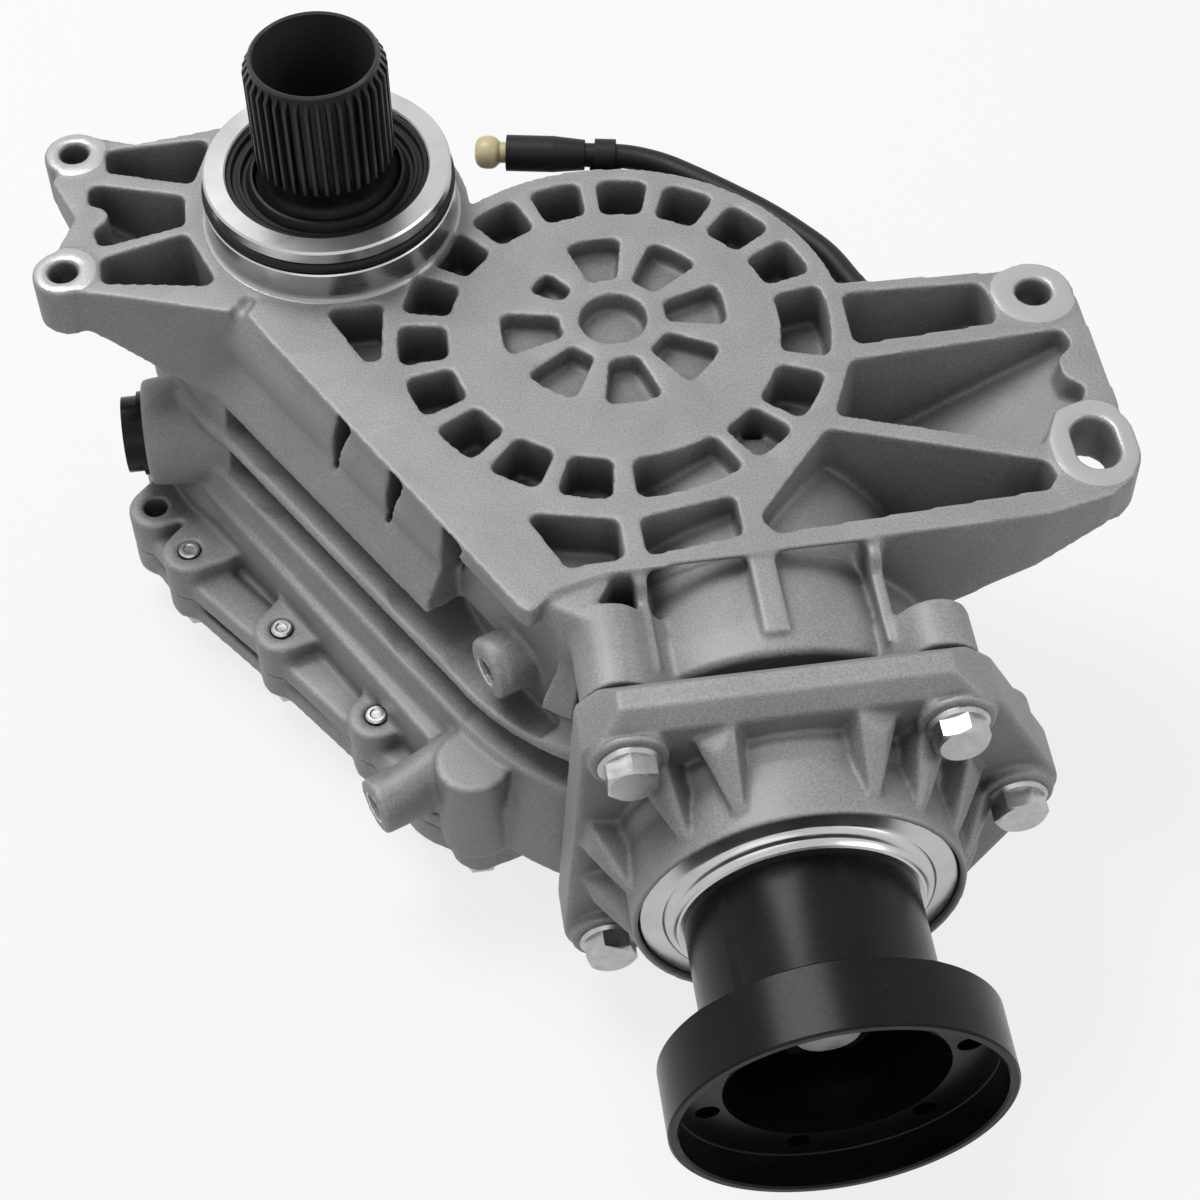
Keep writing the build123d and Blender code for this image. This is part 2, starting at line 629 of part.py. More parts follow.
def toothed_disc(teeth, pitch_radius, tooth_depth):
    """Outline of a spur gear with straight flanks."""
    pitch = 2 * pi * pitch_radius / teeth
    root, tip = pitch_radius - 0.55 * tooth_depth, pitch_radius + 0.45 * tooth_depth
    root_half, tip_half = 0.33 * pitch * gear_tooth_backlash, 0.15 * pitch * gear_tooth_backlash
    with BuildSketch() as outline:
        Circle(root)
        with PolarLocations(0, teeth):
            Polygon((root - 1.0, -root_half), (root, -root_half), (tip, -tip_half), (tip, tip_half),
                    (root, root_half), (root - 1.0, root_half), align=None)
    return outline.sketch


# Input sleeve with its gear
pair_module = 2 * shaft_spacing / (input_teeth + driven_teeth)
input_pitch_radius, driven_pitch_radius = pair_module * input_teeth / 2, pair_module * driven_teeth / 2
tooth_depth = 1.9 * pair_module
sleeve_low_z = -156.0
cover_seal_radius = 36.0
sleeve_hub_radius = 33.0
sleeve_profile = ((sleeve_bore_radius, sleeve_low_z), (sleeve_journal_radius, sleeve_low_z),
                  (sleeve_journal_radius, spur_low_z), (sleeve_hub_radius, spur_low_z),
                  (sleeve_hub_radius, -88.0), (sleeve_journal_radius, -88.0), (sleeve_journal_radius, 3.0),
                  (seal_journal_radius, 5.0), (seal_journal_radius, 24.0), (sleeve_radius - 2.0, 27.0),
                  (sleeve_radius - 2.0, sleeve_top_z - 5.0), (sleeve_radius - 1.0, sleeve_top_z - 5.0),
                  (sleeve_radius - 1.0, sleeve_top_z - 1.0), (sleeve_radius - 2.0, sleeve_top_z),
                  (sleeve_bore_radius + 1.5, sleeve_top_z), (sleeve_bore_radius, sleeve_top_z - 3.0))
with BuildPart() as input_sleeve:
    with BuildSketch(along_axis(input_origin, UP)):
        with BuildLine():
            Polyline(*sleeve_profile, close=True)
        make_face()
    revolve(axis=Axis.Z)
    spline_pitch = 2 * pi * sleeve_radius / sleeve_spline_teeth
    with BuildSketch(Plane.XY.offset(sleeve_spline_low)):
        with PolarLocations(0, sleeve_spline_teeth):
            Polygon((sleeve_radius - 2.6, -0.32 * spline_pitch), (sleeve_radius, -0.16 * spline_pitch),
                    (sleeve_radius, 0.16 * spline_pitch), (sleeve_radius - 2.6, 0.32 * spline_pitch), align=None)
    extrude(amount=sleeve_spline_high - sleeve_spline_low)
save(input_sleeve.part, "input_sleeve")

web_half = 6.0
spur_middle_z = (spur_low_z + spur_high_z) / 2
with BuildPart() as input_gear:
    with BuildSketch(Plane.XY.offset(spur_low_z)):
        add(toothed_disc(input_teeth, input_pitch_radius, tooth_depth))
    extrude(amount=spur_high_z - spur_low_z)
    for face_z, way in ((spur_high_z, -1), (spur_low_z, 1)):
        with BuildSketch(Plane.XY.offset(face_z)):
            Circle(input_pitch_radius - 10.0)
            Circle(sleeve_hub_radius + 7.0, mode=Mode.SUBTRACT)
        extrude(amount=way * (spur_high_z - spur_middle_z - web_half), mode=Mode.SUBTRACT)
    with BuildSketch(Plane.XY.offset(spur_low_z)):
        Circle(sleeve_hub_radius)
    extrude(amount=spur_high_z - spur_low_z, mode=Mode.SUBTRACT)

# Intermediate shaft, driven gear and ring gear
hub_high_z, hub_low_z = -30.7, ring_back_z
ring_hub_radius = 52.0
shaft_core_radius = 22.0
shaft_step_radius = shaft_bearing_bore + 4.0
shaft_profile = ((0.0, shaft_lower_bearing_z), (shaft_bearing_bore, shaft_lower_bearing_z),
                 (shaft_bearing_bore, shaft_lower_bearing_z + shaft_bearing_width),
                 (shaft_step_radius, shaft_lower_bearing_z + shaft_bearing_width),
                 (shaft_step_radius, spur_low_z), (shaft_core_radius, spur_low_z), (shaft_core_radius, ring_back_z),
                 (ring_hub_radius, ring_back_z), (ring_hub_radius, hub_high_z), (shaft_step_radius, hub_high_z),
                 (shaft_step_radius, shaft_upper_bearing_z), (shaft_bearing_bore, shaft_upper_bearing_z),
                 (shaft_bearing_bore, shaft_upper_bearing_z + shaft_bearing_width),
                 (0.0, shaft_upper_bearing_z + shaft_bearing_width))
ring_bolt_radius, ring_bolt_count = 45.0, 10
intermediate_shaft = turned(shaft_origin, UP, shaft_profile)
ring_bolt_places = [polar(ring_bolt_radius, 360 / ring_bolt_count * (k + 0.5)) for k in range(ring_bolt_count)]
hub_plane = Plane(origin=(ring_x, ring_y, hub_high_z))
with BuildPart() as drilled_shaft:
    add(intermediate_shaft.part)
    with BuildSketch(hub_plane):
        with Locations(*ring_bolt_places):
            Circle(4.0)
    extrude(amount=hub_low_z - hub_high_z, mode=Mode.SUBTRACT)
save(drilled_shaft.part, "intermediate_shaft")

driven_phase = 180.0 / driven_teeth
toward_input = degrees(atan2(-ring_y, -ring_x))
toward_shaft = degrees(atan2(ring_y, ring_x))
with BuildPart() as driven_gear:
    with BuildSketch(Plane(origin=(ring_x, ring_y, spur_low_z))):
        add(toothed_disc(driven_teeth, driven_pitch_radius, tooth_depth))
    extrude(amount=spur_high_z - spur_low_z)
    with BuildSketch(Plane(origin=(ring_x, ring_y, spur_low_z))):
        Circle(shaft_core_radius)
    extrude(amount=spur_high_z - spur_low_z, mode=Mode.SUBTRACT)
# Both gears are turned so that a tooth of one faces a gap of the other
input_turn = toward_shaft
driven_turn = toward_input + driven_phase
input_gear_part = input_gear.part.rotate(Axis.Z, input_turn)
driven_gear_part = driven_gear.part.rotate(Axis(shaft_origin, UP), driven_turn)
save(input_gear_part, "input_gear")
save(driven_gear_part, "driven_gear")

mesh_reach = (ring_tooth_inner_y + ring_tooth_outer_y) / 2
mesh_offset = output_x - ring_x
pinion_pitch_radius = mesh_reach * pinion_teeth / ring_teeth
crown_pitch = 2 * pi * mesh_reach / ring_teeth
crown_depth = 4.2
crown_pitch_z = output_z + pinion_pitch_radius
crown_root_z = crown_pitch_z + 0.55 * crown_depth
crown_tip_z = crown_pitch_z - 0.42 * crown_depth
with BuildPart() as crown_tooth:
    with BuildSketch(front_offset(ring_y - ring_tooth_inner_y)):
        with Locations((output_x, 0.0)):
            Polygon((-0.29 * crown_pitch * gear_tooth_backlash, crown_root_z + 1.0),
                    (-0.29 * crown_pitch * gear_tooth_backlash, crown_root_z),
                    (-0.11 * crown_pitch * gear_tooth_backlash, crown_tip_z),
                    (0.11 * crown_pitch * gear_tooth_backlash, crown_tip_z),
                    (0.29 * crown_pitch * gear_tooth_backlash, crown_root_z),
                    (0.29 * crown_pitch * gear_tooth_backlash, crown_root_z + 1.0), align=None)
    extrude(amount=ring_tooth_outer_y - ring_tooth_inner_y)
with BuildPart() as ring_gear:
    with BuildSketch(Plane(origin=(ring_x, ring_y, ring_back_z))):
        Circle(ring_outer_radius)
        Circle(ring_bore_radius, mode=Mode.SUBTRACT)
    extrude(amount=crown_root_z - ring_back_z)
    for k in range(ring_teeth):
        add(crown_tooth.part.rotate(Axis(shaft_origin, UP), 360 / ring_teeth * k))
    with BuildSketch(Plane(origin=(ring_x, ring_y, ring_back_z))):
        with Locations(*ring_bolt_places):
            Circle(4.0)
    extrude(amount=crown_root_z - ring_back_z, mode=Mode.SUBTRACT)
save(ring_gear.part, "ring_gear")
save(hex_screws(hub_plane, ring_bolt_places, 4.0, hub_high_z - crown_root_z - 0.5, 13.0, 5.0), "ring_gear_bolts")

# Output pinion, turned and cut in one piece with its shaft
pinion_head_start_y, pinion_head_end_y = -114.0, -133.5
pinion_tooth_depth = crown_depth * 0.96
pinion_shaft_end_y = -318.0
pinion_thread_radius = 12.0
flange_seat_y = -244.0
nut_seat_y = -303.0
pinion_profile = ((0.0, 114.0), (17.0, 114.0), (17.0, 134.0), (22.0, 136.0), (22.0, 145.0),
                  (pinion_inner_bore, 145.0), (pinion_inner_bore, 172.0), (pinion_outer_bore, 174.0),
                  (pinion_outer_bore, -flange_seat_y), (16.0, -flange_seat_y), (16.0, -nut_seat_y),
                  (pinion_thread_radius, -nut_seat_y), (pinion_thread_radius, -pinion_shaft_end_y - 1.5),
                  (pinion_thread_radius - 1.5, -pinion_shaft_end_y), (0.0, -pinion_shaft_end_y))
with BuildPart() as pinion_shaft:
    with BuildSketch(along_axis(output_origin, OUT)):
        with BuildLine():
            Polyline(*pinion_profile, close=True)
        make_face()
    revolve(axis=Axis(output_origin, OUT))
    with BuildSketch(front_offset(pinion_head_start_y)):
        with Locations((output_x, output_z)):
            add(toothed_disc(pinion_teeth, pinion_pitch_radius, pinion_tooth_depth).rotate(Axis.Z, 90 + 180 / pinion_teeth))
    extrude(amount=pinion_head_start_y - pinion_head_end_y)
save(pinion_shaft.part, "pinion_shaft")

# Pinion housing
housing_bore_inner, housing_bore_outer = pinion_inner_outer, pinion_outer_outer
inner_cup_back, outer_cup_face = 169.0, 240.0
gusset_angles = (133.0, 112.0, 67.0, 47.7, 26.0, 7.1, 345.0, 300.0, 219.7, 196.0, 168.0)
flange_edge = ((62.0, 3.5), (62.0, 3.0), (66.0, 3.5), (182.0, 3.5), (206.0, -28.0), (218.0, -56.0), (215.0, -78.0),
               (197.0, -100.0), (176.0, -142.0), (150.0, -150.0), (60.0, -134.0), (52.0, -118.0), (60.0, -80.0), (58.0, -20.0))
housing_profile = ((housing_bore_inner, -housing_spigot_end_y), (housing_spigot_radius - 1.0, -housing_spigot_end_y),
                   (housing_spigot_radius, 149.0), (housing_spigot_radius, housing_groove_start),
                   (housing_groove_radius, housing_groove_start), (housing_groove_radius, housing_groove_start + 4.5),
                   (housing_spigot_radius, housing_groove_start + 4.5), (housing_spigot_radius, 214.5), (register_radius, 214.5), (register_radius, -housing_seat_y),
                   (58.0, -housing_seat_y), (58.0, -housing_face_y), (nose_radius, 250.0), (nose_radius, -housing_nose_y),
                   (nose_radius - 2.2, -housing_nose_y), (nose_radius - 2.2, 262.0), (40.0, 262.0),
                   (40.0, 248.0), (housing_bore_outer, 246.0), (housing_bore_outer, outer_cup_face - 18.0),
                   (28.0, outer_cup_face - 18.0), (28.0, inner_cup_back), (housing_bore_inner, inner_cup_back))
with BuildPart() as pinion_housing:
    with BuildSketch(along_axis(output_origin, OUT)):
        with BuildLine():
            Polyline(*housing_profile, close=True)
        make_face()
    revolve(axis=Axis(output_origin, OUT))
    with BuildSketch(front_offset(housing_seat_y)) as flange_outline:
        for bolt in housing_bolts_xz:
            with Locations(bolt):
                Circle(15.0)
        make_hull()
        with BuildLine():
            Polyline((66.0, 3.5), (182.0, 3.5), (182.0, -70.0), (66.0, -70.0), close=True)
        make_face()
        with Locations((output_x, output_z)):
            Circle(56.0, mode=Mode.SUBTRACT)
    extrude(amount=housing_seat_y - housing_face_y - 4.0)
    with BuildSketch(front_offset(housing_seat_y)):
        with Locations(*housing_bolts_xz):
            Circle(13.0)
    extrude(amount=housing_seat_y - housing_face_y)
    for angle in gusset_angles:
        spoke = Plane(origin=(output_x, 0, output_z), x_dir=(cos(radians(angle)), 0, sin(radians(angle))),
                      z_dir=(sin(radians(angle)), 0, -cos(radians(angle))))
        with BuildSketch(spoke):
            Polygon((50.0, 238.0), (66.5, 238.0), (66.5, 247.0), (57.0, 264.0), (50.0, 264.0), align=None)
        extrude(amount=2.2, both=True)
    with BuildSketch(along_axis(output_origin, OUT)):
        with BuildLine():
            Polyline(*[(r, d) for r, d in ((0.0, 140.0), (housing_bore_inner, 140.0), (housing_bore_inner, inner_cup_back),
                       (28.0, inner_cup_back), (28.0, outer_cup_face - 18.0), (housing_bore_outer, outer_cup_face - 18.0),
                       (housing_bore_outer, 246.0), (40.0, 248.0), (40.0, 262.0), (nose_radius - 2.2, 262.0),
                       (nose_radius - 2.2, 280.0), (0.0, 280.0))], close=True)
        make_face()
    revolve(axis=Axis(output_origin, OUT), mode=Mode.SUBTRACT)
    with BuildSketch(front_offset(housing_seat_y)):
        with Locations(*housing_bolts_xz):
            Circle(5.3)
    extrude(amount=housing_seat_y - housing_face_y, mode=Mode.SUBTRACT)
save(pinion_housing.part, "pinion_housing")
save(hex_screws(front_offset(housing_face_y), housing_bolts_xz, 4.95, 36.0, 16.0, 8.6, 10.5), "pinion_housing_bolts")

# Output flange with its cup
tube_start = 252.0
cup_wall = 3.4
flange_profile = ((16.0, 246.0), (26.0, 246.0), (26.0, 268.0), (output_tube_radius - 1.0, 268.0),
                  (output_tube_radius, 269.0), (output_tube_radius, -output_cup_back_y - 2.0),
                  (output_tube_radius + 3.0, -output_cup_back_y), (output_cup_radius - 1.5, -output_cup_back_y),
                  (output_cup_radius, -output_cup_back_y + 1.5), (output_cup_radius, -output_face_y - 1.0),
                  (output_cup_radius - 1.0, -output_face_y), (output_cup_radius - cup_wall, -output_face_y),
                  (output_cup_radius - cup_wall, -output_face_y - 12.0), (output_rim_bore_radius, -output_face_y - 12.0),
                  (37.4, -output_face_y - 12.0), (36.0, -output_face_y - 14.0), (32.0, -output_face_y - 36.0),
                  (32.0, -nut_seat_y), (16.0, -nut_seat_y))
with BuildPart() as output_flange:
    with BuildSketch(along_axis(output_origin, OUT)):
        with BuildLine():
            Polyline(*flange_profile, close=True)
        make_face()
    revolve(axis=Axis(output_origin, OUT))
    with BuildSketch(front_offset(output_face_y + 12.0)):
        with Locations((output_x, output_z)):
            with PolarLocations(output_bolt_circle_radius, output_bolt_count, start_angle=16.0):
                Circle(4.0)
    extrude(amount=-14.0, mode=Mode.SUBTRACT)
save(output_flange.part, "output_flange")
shield = turned(output_origin, OUT, ((output_tube_radius, 270.0), (42.0, 270.0), (43.5, 264.5), (52.0, 264.5),
                                     (52.0, 266.0), (44.6, 266.0), (43.2, 271.5), (output_tube_radius, 271.5)))
save(shield.part, "dust_shield")
with BuildPart() as pinion_nut:
    with BuildSketch(front_offset(nut_seat_y)):
        with Locations((output_x, output_z)):
            RegularPolygon(18.0, 6, major_radius=False)
            Circle(pinion_thread_radius, mode=Mode.SUBTRACT)
    extrude(amount=11.0)
save(pinion_nut.part, "pinion_nut")
spacer = ring(output_origin, OUT, pinion_outer_bore, 22.0, 192.0, 222.0)
save(spacer.part, "pinion_spacer")
output_seal = turned(output_origin, OUT, ((26.1, 250.5), (39.9, 250.5), (39.9, 259.5), (26.1, 259.5)))
save(output_seal.part, "output_seal")

# Rear cover
cover_inner_z = cover_floor_z + cover_wall
boss_top_z = spur_low_z - 3.0
drain_place = (32.0, -108.0)
drain_seat_z, drain_boss_top_z = -149.0, -139.0
drain_recess_radius, drain_boss_radius = 18.5, 23.0
with BuildPart() as rear_cover:
    with BuildSketch(Plane.XY.offset(split_z)):
        add(shared_outline(case_wall + flange_reach - 2.0))
        with Locations(*cover_bolts_xy, ear_centre):
            Circle(lug_radius)
    extrude(amount=-cover_flange_thickness)
    with BuildSketch(Plane.XY.offset(split_z - cover_flange_thickness)):
        add(shared_outline(2.0))
    extrude(amount=cover_floor_z - split_z + cover_flange_thickness, taper=8)
    with BuildSketch(Plane.XY.offset(split_z)):
        add(shared_outline(-4.0))
    extrude(amount=cover_inner_z - split_z, mode=Mode.SUBTRACT)
    with BuildSketch(Plane.XY.offset(cover_floor_z)):
        Circle(input_bearing_outer + 6.0)
        with Locations((ring_x, ring_y)):
            Circle(shaft_bearing_outer + 6.0)
    extrude(amount=boss_top_z - cover_floor_z)
    with BuildSketch(Plane.XY.offset(cover_floor_z)):
        with Locations(drain_place):
            Circle(drain_boss_radius)
    extrude(amount=drain_boss_top_z - cover_floor_z)
    with BuildSketch(Plane.XY.offset(cover_floor_z)):
        with Locations(drain_place):
            Circle(drain_recess_radius)
    extrude(amount=drain_seat_z - cover_floor_z, mode=Mode.SUBTRACT)
    with BuildSketch(Plane.XY.offset(cover_floor_z)):
        with Locations(drain_place):
            Circle(plug_thread_radius)
    extrude(amount=drain_boss_top_z - cover_floor_z, mode=Mode.SUBTRACT)
    with BuildSketch(Plane.XY.offset(boss_top_z)):
        Circle(input_bearing_outer + seat_clearance)
    extrude(amount=input_lower_bearing_z - 2.0 - boss_top_z, mode=Mode.SUBTRACT)
    with BuildSketch(Plane.XY.offset(boss_top_z)):
        with Locations((ring_x, ring_y)):
            Circle(shaft_bearing_outer + seat_clearance)
    extrude(amount=shaft_lower_bearing_z - 2.0 - boss_top_z, mode=Mode.SUBTRACT)
    with BuildSketch(Plane.XY.offset(boss_top_z)):
        Circle(cover_seal_radius)
    extrude(amount=cover_floor_z - boss_top_z, mode=Mode.SUBTRACT)
    with BuildSketch(Plane.XY.offset(split_z)):
        with Locations(*cover_bolts_xy):
            Circle(cover_bolt_radius + 0.2)
        with Locations(ear_centre):
            Circle(ear_hole_radius)
    extrude(amount=-cover_flange_thickness, mode=Mode.SUBTRACT)
    with BuildSketch(Plane.XY.offset(split_z)):
        with Locations(*dowels):
            Circle(dowel_radius)
    extrude(amount=-dowel_length / 2, mode=Mode.SUBTRACT)
save(rear_cover.part, "rear_cover")
under_cover = Plane(origin=(0, 0, split_z - cover_flange_thickness), x_dir=(1, 0, 0), z_dir=(0, 0, -1))
save(hex_screws(under_cover, [(x, -y) for x, y in cover_bolts_xy], cover_bolt_radius - 0.02,
                cover_flange_thickness + flange_top_z - split_z, 13.0, 6.5), "cover_bolts")

# Seals, rings and plugs
save(ring(input_origin, UP, seal_journal_radius + 0.1, seal_seat_radius - 0.02, pilot_top_z - seal_seat_depth + 0.5,
          pilot_top_z - 1.5).part, "input_seal")
save(ring(input_origin, UP, sleeve_journal_radius + 0.1, cover_seal_radius - seat_clearance, -156.5,
          -146.0).part, "cover_seal")


def o_ring(origin, along, inner, outer, middle):
    """Rubber ring of round section, seated on the floor of its groove."""
    with BuildPart() as rubber:
        with BuildSketch(along_axis(origin, along)):
            with Locations(((inner + outer) / 2, middle)):
                Circle((outer - inner) / 2)
        revolve(axis=Axis(origin, along))
    return rubber.part


save(o_ring(input_origin, UP, o_ring_groove_radius, pilot_radius + 0.1,
            (o_ring_groove_low + o_ring_groove_high) / 2), "pilot_o_ring")
plug_origin = (plug_boss_face_x, plug_boss_y, plug_boss_z)
AWAY, DOWN = (-1, 0, 0), (0, 0, -1)
drain_origin = (*drain_place, drain_seat_z)
plug_head_radius, plug_head_height, plug_washer_thickness, plug_washer_radius = 14.5, 6.0, 2.0, 16.0
plug_thread_length, plug_socket_radius, plug_socket_depth = 12.0, 5.0, 5.0


def screw_plug(seat, away):
    """Flanged plug with a hexagon socket, and the washer under its head."""
    face = Plane(origin=seat, z_dir=away)
    with BuildPart() as plug:
        with BuildSketch(face.offset(plug_washer_thickness)):
            Circle(plug_head_radius)
        extrude(amount=plug_head_height)
        with BuildSketch(face.offset(plug_washer_thickness)):
            Circle(plug_thread_radius - seat_clearance)
        extrude(amount=-plug_thread_length)
        with BuildSketch(face.offset(plug_washer_thickness + plug_head_height)):
            RegularPolygon(plug_socket_radius, 6)
        extrude(amount=-plug_socket_depth, mode=Mode.SUBTRACT)
    with BuildPart() as washer:
        with BuildSketch(face):
            Circle(plug_washer_radius)
            Circle(plug_thread_radius, mode=Mode.SUBTRACT)
        extrude(amount=plug_washer_thickness)
    return plug.part, washer.part


for label, seat, away in (("fill", plug_origin, AWAY), ("drain", drain_origin, DOWN)):
    plug, washer = screw_plug(seat, away)
    save(plug, label + "_plug")
    save(washer, label + "_plug_washer")

with BuildPart() as dowel_pins:
    with BuildSketch(Plane.XY.offset(split_z - dowel_length / 2)):
        with Locations(*dowels):
            Circle(dowel_radius - seat_clearance)
    extrude(amount=dowel_length)
save(dowel_pins.part, "dowel_pins")


def roller_bearing(origin, along, bore, outer, start, width, rollers):
    """Outer race, and inner race with its rollers, between two distances along the axis."""
    middle, roller_radius = (bore + outer) / 2, 0.22 * (outer - bore)
    race_out, race_in = middle + roller_radius + bearing_clearance, middle - roller_radius
    cup = ring(origin, along, race_out, outer, start, start + width)
    with BuildPart() as cone:
        add(ring(origin, along, bore, race_in, start, start + width).part)
        with BuildSketch(Plane(origin=Vector(*origin) + Vector(*along) * (start + 2.0), z_dir=along)):
            with PolarLocations(middle, rollers):
                Circle(roller_radius - 0.002)
        extrude(amount=width - 4.0)
    return cup.part, cone.part


bearings = (
    ("input_upper", input_origin, UP, sleeve_journal_radius, input_bearing_outer, input_upper_bearing_z,
     input_bearing_width, 14),
    ("input_lower", input_origin, UP, sleeve_journal_radius, input_bearing_outer, input_lower_bearing_z,
     input_bearing_width, 14),
    ("shaft_upper", shaft_origin, UP, shaft_bearing_bore, shaft_bearing_outer, shaft_upper_bearing_z,
     shaft_bearing_width, 10),
    ("shaft_lower", shaft_origin, UP, shaft_bearing_bore, shaft_bearing_outer, shaft_lower_bearing_z,
     shaft_bearing_width, 10),
    ("pinion_inner", output_origin, OUT, pinion_inner_bore, pinion_inner_outer, 145.5, pinion_inner_width, 12),
    ("pinion_outer", output_origin, OUT, pinion_outer_bore, pinion_outer_outer, outer_cup_face - 18.0,
     pinion_outer_width, 12),
)
for label, origin, along, bore, outer, start, width, rollers in bearings:
    cup, cone = roller_bearing(origin, along, bore, outer, start, width, rollers)
    save(cup, label + "_bearing_cup")
    save(cone, label + "_bearing_cone")

# Breather: elbow fitting, hose, connector, clip and cap
hose_radius = 4.6
elbow_radius, elbow_before, elbow_after = 4.8, 4.5, 7.0
elbow_direction = Vector(cos(radians(110.0)), sin(radians(110.0)), 0)
elbow_point = Vector(*polar(vent_reach, vent_angle, (ring_x, ring_y)), vent_z)
hose_start = elbow_point + elbow_direction * elbow_after
hose_first_run = 18.0
hose_places = [(163.0, -1.0), (141.0, 20.0), (127.0, 32.0), (114.5, 38.5), (98.0, 41.6)]
hose_route = [hose_start, hose_start + elbow_direction * hose_first_run] + [Vector(x, y, vent_z) for x, y in hose_places]


def arc_radii(points):
    """For each corner of a route, the largest arc that its two runs allow."""
    radii = []
    for before, corner, after in zip(points, points[1:], points[2:]):
        turn = (corner - before).get_angle(after - corner)
        shorter = min((corner - before).length, (after - corner).length)
        radii.append(0.45 * shorter / tan(radians(turn / 2)))
    return radii


print("hose arc radii", [round(r, 1) for r in arc_radii(hose_route)])
with BuildPart() as vent_fitting:
    with BuildSketch(vent_plane):
        Circle(vent_thread_radius - seat_clearance)
    extrude(amount=-11.0)
    with BuildSketch(vent_plane):
        RegularPolygon(6.5, 6, major_radius=False)
    extrude(amount=4.0)
    with BuildSketch(vent_plane):
        Circle(3.6)
    extrude(amount=vent_reach - vent_seat_radius)
    with BuildSketch(Plane(origin=elbow_point - elbow_direction * elbow_before, x_dir=UP, z_dir=elbow_direction)):
        Circle(elbow_radius)
    extrude(amount=elbow_before + elbow_after)
save(vent_fitting.part, "vent_fitting")
with BuildPart() as vent_hose:
    with BuildLine() as route:
        FilletPolyline(*hose_route, radius=arc_radii(hose_route))
    with BuildSketch(Plane(origin=hose_start, z_dir=route.line % 0)):
        Circle(hose_radius)
    sweep()
hose_length = sum(edge.length for edge in route.edges())
print("hose length", round(hose_length, 1), "volume by section",
      round(vent_hose.part.volume / (pi * hose_radius**2 * hose_length), 4))
save(vent_hose.part, "vent_hose")
connector_plane = Plane(origin=hose_route[-1], x_dir=UP, z_dir=(hose_route[-1] - hose_route[-2]).normalized())
with BuildPart() as vent_connector:
    with BuildSketch(connector_plane):
        Circle(5.8)
    with BuildSketch(connector_plane.offset(12.0)):
        Circle(6.9)
    loft()
    with BuildSketch(connector_plane.offset(12.0)):
        Circle(6.9)
    extrude(amount=18.0)
save(vent_connector.part, "vent_connector")
with BuildPart() as vent_cap:
    with BuildSketch(connector_plane.offset(30.0)):
        Circle(4.0)
    extrude(amount=3.0)
    with BuildSketch(connector_plane.offset(33.0)):
        Circle(6.3)
    extrude(amount=7.0)
    with BuildSketch(connector_plane.offset(40.0)) as crown:
        Circle(6.3)
    extrude(amount=2.0, taper=40)
save(vent_cap.part, "vent_cap")
clip_ring_radius, clip_width, clip_plate = 6.3, 8.0, 2.0
clip_along = connector_plane.z_dir
clip_centre = Vector(*clip_place, vent_z)
clip_out = Vector(*polar(1.0, clip_angle), 0)
with BuildPart() as vent_clip:
    with BuildSketch(Plane(origin=(*clip_boss, clip_boss_top_z), x_dir=clip_out)):
        with Locations(((clip_centre - Vector(*clip_boss, vent_z)).length / 2, 0.0)):
            SlotCenterToCenter((clip_centre - Vector(*clip_boss, vent_z)).length, 2 * clip_boss_radius - 4.0)
    extrude(amount=clip_plate)
    with BuildSketch(Plane(origin=clip_centre - clip_along * (clip_width / 2), x_dir=UP, z_dir=clip_along)):
        Circle(clip_ring_radius)
    extrude(amount=clip_width)
    with BuildSketch(Plane(origin=clip_centre - clip_along * (clip_width / 2), x_dir=UP, z_dir=clip_along)):
        Circle(hose_radius + 0.15)
    extrude(amount=clip_width, mode=Mode.SUBTRACT)
    with BuildSketch(Plane(origin=(*clip_boss, clip_boss_top_z))):
        Circle(clip_screw_radius + 0.2)
    extrude(amount=clip_plate, mode=Mode.SUBTRACT)
save(vent_clip.part, "vent_clip")
save(hex_screws(Plane.XY.offset(clip_boss_top_z + clip_plate), [clip_boss], clip_screw_radius - seat_clearance, 14.0,
                10.0, 4.6), "vent_clip_screw")

# Sealing ring of the pinion housing
save(o_ring(output_origin, OUT, housing_groove_radius, housing_spigot_radius,
            housing_groove_start + 2.25), "housing_o_ring")
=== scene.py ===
"""Looks of the right-angle transfer case: cast aluminium, machined faces, black steel and zinc screws.

All lengths are metres in the frame of the CAD: +Z up along the input sleeve, the output along -Y.
"""
import json
import math

import bpy
from mathutils import Matrix, Vector


